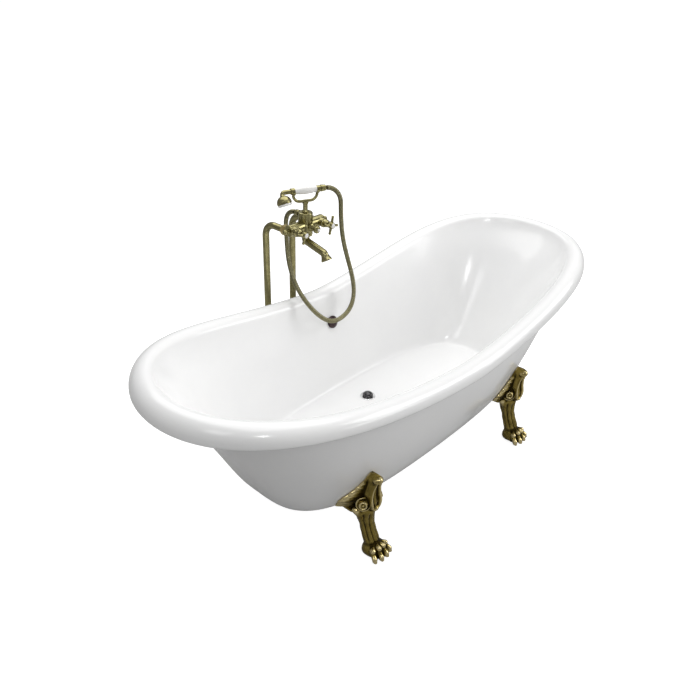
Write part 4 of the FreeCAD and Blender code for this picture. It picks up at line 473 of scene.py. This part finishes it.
foot = {  # x across the foot, y outwards from the tub, z up, from the foot's floor point
    "spacing": (761.0, 588.0), "sole": 3.0, "top": 291.0,
    # tables of (level, value)
    "spine": [(3, -7), (30, -12), (57, -22), (87, -36), (119, -45), (150, -44), (180, -36),
              (215, -29), (250, -24), (280, -17), (291, -16)],
    "shieldWidth": [(150, 30), (156, 42), (161, 60), (166, 71), (178, 75), (190, 75), (202, 71),
                    (212, 61), (222, 48), (233, 38), (248, 27), (262, 17), (272, 11), (284, 5),
                    (291, 2)],
    "leafWidth": [(162, 5), (168, 11), (180, 19), (200, 23), (222, 21), (245, 17), (262, 14),
                  (274, 13), (284, 10), (291, 5)],
    "leafFront": [(160, -22), (167, -11), (176, -4), (192, -3), (220, -8), (245, -7), (262, -2),
                  (274, -1), (284, -5), (291, -12)],
    # rods: start, end and the radius at each; seams: the width of each rounded join
    "shankRods": [((0, -22, 50), (0, -36, 87), 23, 19.5),
                  ((0, -36, 87), (0, -45, 119), 19.5, 20.5),
                  ((0, -45, 119), (0, -46, 152), 20.5, 27),
                  ((10, -50, 130), (34, -54, 160), 15, 12)],
    "shankSeams": (6, 10, 10),
    "knobRods": [((0, -5, 277), (8, -10, 276), 10.5, 8.5), ((0, -8, 278), (0, -20, 282), 10, 8.5)],
    "knobSeams": (3,),
    "tendons": {"height": 4.6, "sink": 2.6, "count": 4, "starts": (44, 60), "stops": (156, 142)},
    "shield": {"low": 150, "high": 290, "backing": 5, "arch": 13, "lobe": 2.0, "lobePitch": 0.42,
               "starts": (160, 180), "stops": (270, 240), "vein": 1.3, "veinLevel": 185,
               "veinPitch": (0.42, 0.16), "veinsFrom": (30, 38)},
    "volute": {"middle": (27.0, -36, 191), "axis": (0.72, 0.62, 0.3), "radius": 19, "ring": 3.0,
               "ringPitch": 0.62},
    "leaf": {"low": 162, "high": 291, "back": -58, "hollow": 12, "limit": 1.2,
             "edge": (11, 0.82, 0.2), "midrib": (5.0, 3.6), "vein": (2.5, 0.45, 0.1),
             "starts": (168, 178), "stops": (276, 268), "lip": ((0, -16, 172), (13, 12, 8)),
             "seams": (4, 3)},
    # ellipsoids: middle and radii; toes: aside, ahead and the height of the knuckle; points of
    # a toe: share of its way aside, way ahead, and height, which counts from the knuckle if
    # it isn't above 0
    "pads": [((0, -9, 23), (34, 33, 27)), ((0, -24, 14), (26, 17, 15))],
    "toes": [(10.5, 6, 41), (30.5, -1, 36)],
    "toePoints": {"knuckle": (0.86, 11, 0), "root": (0.8, 4, -4), "front": (1, 20, 20),
                  "tip": (1.04, 23, 17), "clawRoot": (1.04, 23, 12), "clawEnd": (1.05, 27, 10)},
    "knuckle": 8.4, "toe": (8.0, 7.6), "toeTip": 8.8,
    "claw": (8.0, 6.6), "toeSeams": (2.5, 2.0, 1.5), "pawSeams": (8, 2.0, 2.0),
    "seams": (9, 2.5, 2.5, 6),  # shank to shield, volutes, leaf and paw
    "easing": 0.75, "padEasing": 0.9,  # keep stretched fields below the true distance
    "plate": {"half": 38.0, "inner": -152.0, "outer": -62.0, "low": 143.0, "high": 151.0,
              "sides": 64, "squareness": 0.25, "lowEdge": 1.2, "highEdge": 0.4},
    # how finely it is drawn, and the rays that find it
    "levels": 240, "around": 208, "rays": (96, 0.5, 90), "core": 0.4, "halvings": 6,
    "wallGap": 1.0, "smooth": (2, 0.35), "blur": (26, 0.5), "hollowDepth": 2.0,
    "side": {"reach": 110.0, "places": 45, "top": 320.0, "levels": 70, "start": 0.02,
             "around": 120, "rows": 40},
}


def softMin(a, b, blend):
    # two distances joined with a rounded seam of the given width
    mix = np.clip(0.5 + 0.5 * (b - a) / blend, 0, 1)
    return b + (a - b) * mix - blend * mix * (1 - mix)


def joined(parts, seams):
    # distances joined one after another
    solid = parts[0]
    for part, seam in zip(parts[1:], seams):
        solid = softMin(solid, part, seam)
    return solid


def between(value, start, end):
    # 0 at the start and 1 at the end, straight between them and held past them
    return np.clip((value - start) / (end - start), 0, 1)


def bell(value, middle, width):
    # a hump of height 1: e to the power of minus the square of the distance over the width
    return np.exp(-((value - middle) / width) ** 2)


def taperedRod(p, start, end, startRadius, endRadius):
    # distance to the nearest point of a line, less a radius that changes along it
    start, end = np.asarray(start, float), np.asarray(end, float)
    line = end - start
    share = np.clip(((p - start) @ line) / (line @ line), 0, 1)
    return np.linalg.norm(p - start - share[..., None] * line, axis=-1) - (
        startRadius + (endRadius - startRadius) * share)


def ellipsoid(p, centre, radii):
    # distance to a unit sphere in stretched space, scaled back by the smallest radius
    scaled = (p - np.asarray(centre, float)) / np.asarray(radii, float)
    length = np.linalg.norm(scaled, axis=-1)
    return (length - 1) * min(radii) * foot["padEasing"]


def ball(p, centre, radius):
    # distance to a sphere
    return np.linalg.norm(p - centre, axis=-1) - radius


def follow(table, level):
    # a value that changes with the level, straight between the rows of a table
    return np.interp(level, *zip(*foot[table]))


def shankField(p, x, y, z):
    # rods end to end, with tendons down them: waves of the angle round the spine
    tendons = foot["tendons"]
    rods = joined([taperedRod(p, *rod) for rod in foot["shankRods"]], foot["shankSeams"])
    swing = np.arctan2(x, y - follow("spine", z))
    ends = between(z, *tendons["starts"]) * between(z, *tendons["stops"])
    waves = tendons["height"] * np.abs(np.cos(swing * tendons["count"])) - tendons["sink"]
    return rods - waves * ends


def shieldField(x, y, z, wall):
    # a cast web that hugs the tub's side, arched across, lobed along its edge and veined
    shield = foot["shield"]
    fade = between(z, *shield["starts"]), between(z, *shield["stops"])
    lobes = shield["lobe"] * np.cos(z * shield["lobePitch"]) * fade[0] * fade[1]
    width = follow("shieldWidth", z) + lobes
    arch = np.sqrt(np.clip(1 - (x / width) ** 2, 0.0, 1))
    alongX, alongZ = shield["veinPitch"]
    veins = shield["vein"] * np.cos(x * alongX + (z - shield["veinLevel"]) * alongZ)
    veins = veins * between(x, *shield["veinsFrom"])
    front = y - wall - shield["backing"] - shield["arch"] * arch - veins
    sides = np.maximum(np.maximum(front, x - width), shield["low"] - z)
    return np.maximum(sides, z - shield["high"]) * foot["easing"]


def voluteField(p):
    # a ball on each side of the leaf, with rings round an axis as waves of the distance to it
    volute = foot["volute"]
    axis = unit(np.array(volute["axis"]))
    offset = p - np.array(volute["middle"])
    aside = np.linalg.norm(offset - (offset @ axis)[..., None] * axis, axis=-1)
    rings = volute["ring"] * np.cos(aside * volute["ringPitch"])
    return np.linalg.norm(offset, axis=-1) - volute["radius"] - rings


def leafField(p, x, y, z):
    # hollow between raised edges, with a midrib, veins, a curled knob on top and a lip below
    leaf = foot["leaf"]
    width = follow("leafWidth", z)
    across = np.clip(x / width, 0, leaf["limit"])
    edgeHeight, ribHeight, veinHeight = leaf["edge"][0], leaf["midrib"][0], leaf["vein"][0]
    edge = edgeHeight * bell(across, *leaf["edge"][1:])
    ribs = ribHeight * bell(x, 0, leaf["midrib"][1]) + veinHeight * bell(across, *leaf["vein"][1:])
    fade = between(z, *leaf["starts"]) * between(z, *leaf["stops"])
    front = follow("leafFront", z) - leaf["hollow"] * fade + (edge + ribs) * fade
    blade = np.maximum(np.maximum(y - front, x - width), leaf["back"] - y)
    blade = np.maximum(blade, np.maximum(leaf["low"] - z, z - leaf["high"])) * foot["easing"]
    knob = joined([taperedRod(p, *rod) for rod in foot["knobRods"]], foot["knobSeams"])
    return joined([blade, knob, ellipsoid(p, *leaf["lip"])], leaf["seams"])


def pawField(p):
    # pad and heel, and toes with a knuckle, a tip and a claw each
    parts = [ellipsoid(p, *pad) for pad in foot["pads"]]
    for side, lead, high in foot["toes"]:
        at = {name: (side * aside, ahead + lead, height if height > 0 else high + height)
              for name, (aside, ahead, height) in foot["toePoints"].items()}
        knuckle = ball(p, at["knuckle"], foot["knuckle"])
        toe = taperedRod(p, at["root"], at["front"], *foot["toe"])
        tip = ball(p, at["tip"], foot["toeTip"])
        claw = taperedRod(p, at["clawRoot"], at["clawEnd"], *foot["claw"])
        parts.append(joined([knuckle, toe, tip, claw], foot["toeSeams"]))
    return joined(parts, foot["pawSeams"])


def footField(points, wall):
    # signed distance of the cast foot, both sides alike
    p = points.copy()
    p[..., 0] = np.abs(p[..., 0])
    x, y, z = p[..., 0], p[..., 1], p[..., 2]
    return joined([shankField(p, x, y, z), shieldField(x, y, z, wall), voluteField(p),
                   leafField(p, x, y, z), pawField(p)], foot["seams"])


def sideTable():
    # how far out the tub's side stands from the foot's floor point, over levels and places:
    # each column of the skin is cut at a level, and the cut is read at the places
    side = foot["side"]
    rows = skinRows(np.linspace(side["start"], math.pi / 2, side["around"]), side["rows"])
    places = np.linspace(-side["reach"], side["reach"], side["places"]) + foot["spacing"][0] / 2
    levels = np.linspace(tub["baseHeight"], side["top"], side["levels"])
    table = np.empty((side["levels"], side["places"]))
    columns, number = rows.transpose(1, 0, 2), np.arange(side["rows"])
    each = np.arange(side["around"])
    for index, level in enumerate(levels):
        share = np.array([np.interp(level, column[:, 2], number) for column in columns])
        low = np.clip(np.floor(share).astype(int), 0, side["rows"] - 2)
        part = (share - low)[:, None]
        cut = rows[low, each] * (1 - part) + rows[low + 1, each] * part
        table[index] = np.interp(places, cut[::-1, 0], cut[::-1, 1])
    return table - foot["spacing"][1] / 2


def sideAt(table, x, z):
    # the side table read between its four nearest values
    side, base, inside = foot["side"], tub["baseHeight"], 0.999
    lastRow, lastColumn = side["levels"] - 1, side["places"] - 1
    column = (x + side["reach"]) / (2 * side["reach"] / lastColumn)
    row = (z - base) / (side["top"] - base) * lastRow
    column, row = np.clip(column, 0, lastColumn - 1 + inside), np.clip(row, 0, lastRow - 1 + inside)
    c, r = column.astype(int), row.astype(int)
    cf, rf = column - c, row - r
    return ((table[r, c] * (1 - cf) + table[r, c + 1] * cf) * (1 - rf)
            + (table[r + 1, c] * (1 - cf) + table[r + 1, c + 1] * cf) * rf)


def relax(radius, times, share):
    # each value is drawn towards its neighbours along the leg and round it
    for step in range(times):
        radius[1:-1] += ((radius[2:] + radius[:-2]) / 2 - radius[1:-1]) * share
        radius += ((np.roll(radius, 1, 1) + np.roll(radius, -1, 1)) / 2 - radius) * share
    return radius


def footSurface():
    # level rays from a spine inside the foot: the radius is the last crossing of the field,
    # and a point is hollow by how far it lies inside its blurred neighbourhood
    levels = foot["sole"] + (foot["top"] - foot["sole"]) * np.linspace(0, 1, foot["levels"])
    angles = np.linspace(0, 2 * math.pi, foot["around"], endpoint=False)
    spine = follow("spine", levels)
    away = np.stack([np.sin(angles), np.cos(angles)], axis=-1)
    table = sideTable()
    shape = (len(levels), len(angles))

    def place(radius):
        points = np.empty(shape + (3,))
        points[..., 0] = radius * away[None, :, 0]
        points[..., 1] = spine[:, None] + radius * away[None, :, 1]
        points[..., 2] = levels[:, None]
        return points

    def inside(radius):
        points = place(radius)
        wall = sideAt(table, points[..., 0], points[..., 2])
        free = points[..., 2] < tub["baseHeight"]
        return (footField(points, wall) < 0) & (free | (points[..., 1] > wall + foot["wallGap"]))

    reach = np.linspace(*foot["rays"])
    outer, inner = np.full(shape, foot["rays"][1]), np.full(shape, foot["core"])
    found = np.zeros(shape, bool)
    for far, near in zip(reach, reach[1:]):
        new = inside(np.full(shape, near)) & ~found
        outer[new], inner[new] = far, near
        found |= new
    for step in range(foot["halvings"]):
        middle = (outer + inner) / 2
        solid = inside(middle)
        inner = np.where(solid, middle, inner)
        outer = np.where(solid, outer, middle)
    smooth = relax((outer + inner) / 2, *foot["smooth"])
    blurred = relax(smooth.copy(), *foot["blur"])
    return place(smooth), np.clip((blurred - smooth) / foot["hollowDepth"], -1, 1)


def plateShell():
    # the cast tongue under the tub's base: superellipses stacked, drawn in at its two edges
    plate = foot["plate"]
    turns = np.linspace(0, 2 * math.pi, plate["sides"], endpoint=False)
    squareX, squareY = [np.sign(wave) * np.abs(wave) ** plate["squareness"]
                        for wave in (np.cos(turns), np.sin(turns))]
    low, high, inner, outer = plate["low"], plate["high"], plate["inner"], plate["outer"]
    rows = []
    for inset, level in ((plate["lowEdge"], low), (0, low + plate["lowEdge"]),
                         (0, high - plate["highEdge"]), (plate["highEdge"], high)):
        y = (inner + outer) / 2 + squareY * ((outer - inner) / 2 - inset)
        rows.append(np.stack([squareX * (plate["half"] - inset), y, np.full_like(turns, level)],
                             axis=-1))
    return np.array(rows)


footPoints, footHollow = footSurface()
platePoints = plateShell()
# hollow values paint shade into the foot's recesses and a highlight on its raised parts;
# no hollows on the plate, nor at the two middles that close each of the shells
castHollow = np.append(footHollow.ravel(), np.zeros(2 + platePoints[..., 0].size + 2))
for along, signX in (("left", -1), ("right", 1)):
    for across, signY in (("near", -1), ("far", 1)):
        turn = np.array([signX, signY, 1.0])
        base = np.array([signX * foot["spacing"][0] / 2, signY * foot["spacing"][1] / 2, 0])
        base = base + tubShift
        shells = [closedSkin((grid * turn + base) * mm) for grid in (footPoints, platePoints)]
        makePiece("clawFoot_%s_%s" % (across, along), shells, "tub_and_mixer",
                  "antique_brass_casting", ["foot_%s_%s" % (across, along)], hollow=castHollow)
print("feet ready")


# hose

hose = {
    "radius": 7.5, "groove": 0.9, "ribs": 330, "around": 18, "plainEnd": 15,
    # a rib: shares of its pitch, and how much of the groove's depth is taken there
    "ribShares": (0.0, 0.16, 0.32, 0.62, 0.84), "ribDepths": (1.0, 0.35, 0.0, 0.0, 0.35),
    "plainPoints": 5, "endHollow": 0.5, "smoothness": 24,
    # the handset's cradle, how it is turned, and how far out the hose leaves it
    "cradle": (-80, 221, 872.5), "turn": 23, "reach": 56.5, "straight": 17,
    "route": [
        (2.6, 186, 867.2), (15.2, 180.6, 857.3), (24.4, 176.7, 843.5), (29.2, 174.7, 827.3),
        (31, 174.8, 806.5), (31.2, 173.8, 776), (33.5, 172, 738), (38.5, 170, 701),
        (47.6, 167, 662), (58.5, 163, 622), (69, 157.5, 581), (75, 151, 543), (74, 144.5, 508),
        (63, 138, 478.5), (41, 131, 459), (11, 124, 450), (-25, 117.5, 448.5), (-60, 113.5, 455),
        (-89, 116, 469.5), (-109, 127.5, 487.5), (-119.5, 148, 506), (-122.5, 174, 524.5),
        (-120.5, 203, 544.5), (-114.5, 233, 568), (-105, 262, 598), (-94.5, 285, 631),
        (-84, 301, 665), (-76.5, 311, 697), (-73.2, 315.8, 726), (-74, 315.4, 745.8),
        (-75.8, 310, 762.4), (-77.8, 300.2, 776.6), (-79.2, 286.6, 786.7), (-80, 270.5, 792)],
    "outlet": (-80.0, 253.5, 792.0),
}


def splineLine(route):
    # the smooth line that a NURBS spline of order 3 draws through the route
    curve = bpy.data.curves.new("hoseLine", "CURVE")
    curve.dimensions = "3D"
    spline = curve.splines.new("NURBS")
    spline.points.add(len(route) - 1)
    points = np.ones((len(route), 4))
    points[:, :3] = np.array(route) * mm
    spline.points.foreach_set("co", points.ravel())
    spline.order_u = 3
    spline.use_endpoint_u = True
    spline.resolution_u = hose["smoothness"]
    holder = bpy.data.objects.new("hoseLine", curve)
    mesh = bpy.data.meshes.new_from_object(holder)
    line = np.empty(len(mesh.vertices) * 3)
    mesh.vertices.foreach_get("co", line)
    bpy.data.meshes.remove(mesh)
    bpy.data.objects.remove(holder)
    bpy.data.curves.remove(curve)
    return line.reshape(-1, 3)


def evenly(line, distances):
    # points of a line at distances along it
    steps = np.linalg.norm(np.diff(line, axis=0), axis=1)
    travelled = np.concatenate([[0], np.cumsum(steps)])
    return np.stack([np.interp(distances, travelled, line[:, axis]) for axis in range(3)], axis=-1)


def alongCradle(point, distance):
    # a point moved in the direction that the cradle is turned
    x, y, z = point
    turn = math.radians(hose["turn"])
    return x + distance * math.cos(turn), y - distance * math.sin(turn), z


hoseStart, hoseEnd = alongCradle(hose["cradle"], hose["reach"]), hose["outlet"]
afterStart = alongCradle(hoseStart, hose["straight"])
hoseLine = splineLine([hoseStart, afterStart, *hose["route"], hoseEnd])
hoseLength = float(np.linalg.norm(np.diff(hoseLine, axis=0), axis=1).sum())
plainEnd, plainPoints = hose["plainEnd"] * mm, hose["plainPoints"]
pitch = (hoseLength - 2 * plainEnd) / hose["ribs"]
ribStarts = plainEnd + pitch * np.arange(hose["ribs"])
ribStations = ribStarts[:, None] + np.array(hose["ribShares"]) * pitch
stations = np.concatenate([np.linspace(0, plainEnd, plainPoints)[:-1], ribStations.ravel(),
                           np.linspace(hoseLength - plainEnd, hoseLength, plainPoints)])
sink = np.concatenate([np.ones(plainPoints - 1), np.tile(hose["ribDepths"], hose["ribs"]),
                       np.ones(plainPoints)])
hosePath = evenly(hoseLine, stations)
hoseOutside = sweptGrid(hosePath, (hose["radius"] - hose["groove"] * sink) * mm, hose["around"])
# groove depth as the hollow value: painted shade in the grooves, half of it at the two end middles
hoseHollow = np.append(np.repeat(sink, hose["around"]), [hose["endHollow"]] * 2)
hosePiece = makePiece("showerHose", [closedSkin(hoseOutside)], None, "brass_hose",
                      ["shower_hose"], hollow=hoseHollow)
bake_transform(hosePiece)
print("hose ready, %.3f m" % hoseLength)


# stage

studio = {
    "floor": {"half": 30, "colour": (0.5, 0.5, 0.5), "roughness": 0.9, "glow": 0.88},
    "ambient": 0.32, "backdrop": 1.0,  # strength of the world as light, and as it is seen
    "lamps": {
        "above": {"place": (0.5, 0.7, 3.3), "target": (0, 0, 0.4), "size": (4.2, 3.4),
                  "power": 94},
        "right": {"place": (2.7, -2.5, 2.3), "target": (0, 0, 0.4), "size": (2.0, 1.6),
                  "power": 42},
        "strip": {"place": (1.7, -3.0, 1.1), "target": (-0.2, -0.2, 0.3), "size": (1.7, 0.45),
                  "power": 9},
        "glint": {"place": (-1.7, -2.3, 2.7), "target": (-0.2, -0.3, 0.3), "size": (0.5, 0.5),
                  "power": 10},
        "left": {"place": (-2.6, -0.6, 2.6), "target": (0, 0, 0.5), "size": (0.9, 0.9),
                 "power": 7},
    },
    # the photograph's camera: angles in degrees, focal length and picture width in pixels
    "camera": {"azimuth": -47.27361, "elevation": 32.01967, "roll": 1.20476, "focal": 717.596,
               "picture": 700, "sensor": 36, "place": (-1.57563, -1.28041, 1.57498),
               "shift": (0.027366, 0.02135), "far": 100},
}


def stagePlane():
    # a matt floor that glows for the camera only, so that it melts into the white backdrop
    floor = studio["floor"]
    half = floor["half"]
    mesh = bpy.data.meshes.new("floor")
    mesh.from_pydata([(-half, -half, 0), (half, -half, 0), (half, half, 0), (-half, half, 0)],
                     [], [(0, 1, 2, 3)])
    material = bpy.data.materials.new("floor_pale")
    material.use_nodes = True
    nodes, links = material.node_tree.nodes, material.node_tree.links
    surface = nodes["Principled BSDF"]
    surface.inputs["Base Color"].default_value = (*floor["colour"], 1)
    surface.inputs["Roughness"].default_value = floor["roughness"]
    surface.inputs["Specular IOR Level"].default_value = 0.0
    rays = nodes.new("ShaderNodeLightPath")
    glow = nodes.new("ShaderNodeMath")
    glow.operation = "MULTIPLY"
    glow.inputs[1].default_value = floor["glow"]
    links.new(rays.outputs["Is Camera Ray"], glow.inputs[0])
    surface.inputs["Emission Color"].default_value = (1, 1, 1, 1)
    links.new(glow.outputs[0], surface.inputs["Emission Strength"])
    mesh.materials.append(material)
    plane = bpy.data.objects.new("floor", mesh)
    bpy.context.scene.collection.objects.link(plane)


def softWorld():
    # a white world, faint as a light and bright where the camera sees it
    world = bpy.data.worlds.new("studio")
    world.use_nodes = True
    nodes, links = world.node_tree.nodes, world.node_tree.links
    background = nodes["Background"]
    background.inputs["Color"].default_value = (1, 1, 1, 1)
    rays = nodes.new("ShaderNodeLightPath")
    seen = nodes.new("ShaderNodeMath")
    seen.operation = "MAXIMUM"
    links.new(rays.outputs["Is Camera Ray"], seen.inputs[0])
    links.new(rays.outputs["Is Transmission Ray"], seen.inputs[1])
    strength = ranged(nodes, links, seen.outputs[0], (0.0, 1.0),
                      (studio["ambient"], studio["backdrop"]))
    links.new(strength, background.inputs["Strength"])
    bpy.context.scene.world = world


def placed(holder, axes, place):
    # an object turned so that its own axes are the three given ones, and linked
    matrix = np.eye(4)
    matrix[:3, :3] = np.stack(axes, axis=-1)
    matrix[:3, 3] = place
    holder.matrix_world = Matrix(matrix.tolist())
    bpy.context.scene.collection.objects.link(holder)


def softLamp(name, place, target, size, power):
    # a rectangular lamp that shines from its place to the target
    lamp = bpy.data.lights.new(name, "AREA")
    lamp.shape = "RECTANGLE"
    lamp.size, lamp.size_y = size
    lamp.energy = power
    placed(bpy.data.objects.new(name, lamp), crossAxes(np.subtract(place, target)), place)


def photoCamera():
    # back points from the scene to the camera; right and up are rolled round it
    view = studio["camera"]
    azimuth, elevation, roll = [math.radians(view[key])
                                for key in ("azimuth", "elevation", "roll")]
    back = np.array([math.sin(azimuth) * math.cos(elevation),
                     -math.cos(azimuth) * math.cos(elevation), math.sin(elevation)])
    right = np.array([math.cos(azimuth), math.sin(azimuth), 0])
    up = np.cross(back, right)
    across = right * math.cos(roll) + up * math.sin(roll)
    above = up * math.cos(roll) - right * math.sin(roll)
    data = bpy.data.cameras.new("photo")
    data.sensor_width = view["sensor"]
    data.lens = view["focal"] / view["picture"] * view["sensor"]
    data.shift_x, data.shift_y = view["shift"]
    data.clip_end = view["far"]
    camera = bpy.data.objects.new("photo", data)
    placed(camera, (across, above, back), view["place"])
    bpy.context.scene.camera = camera


stagePlane()
softWorld()
for lampName, lampValues in studio["lamps"].items():
    softLamp(lampName, **lampValues)
photoCamera()
bpy.context.scene.view_settings.view_transform = "Standard"

print("scene ready")
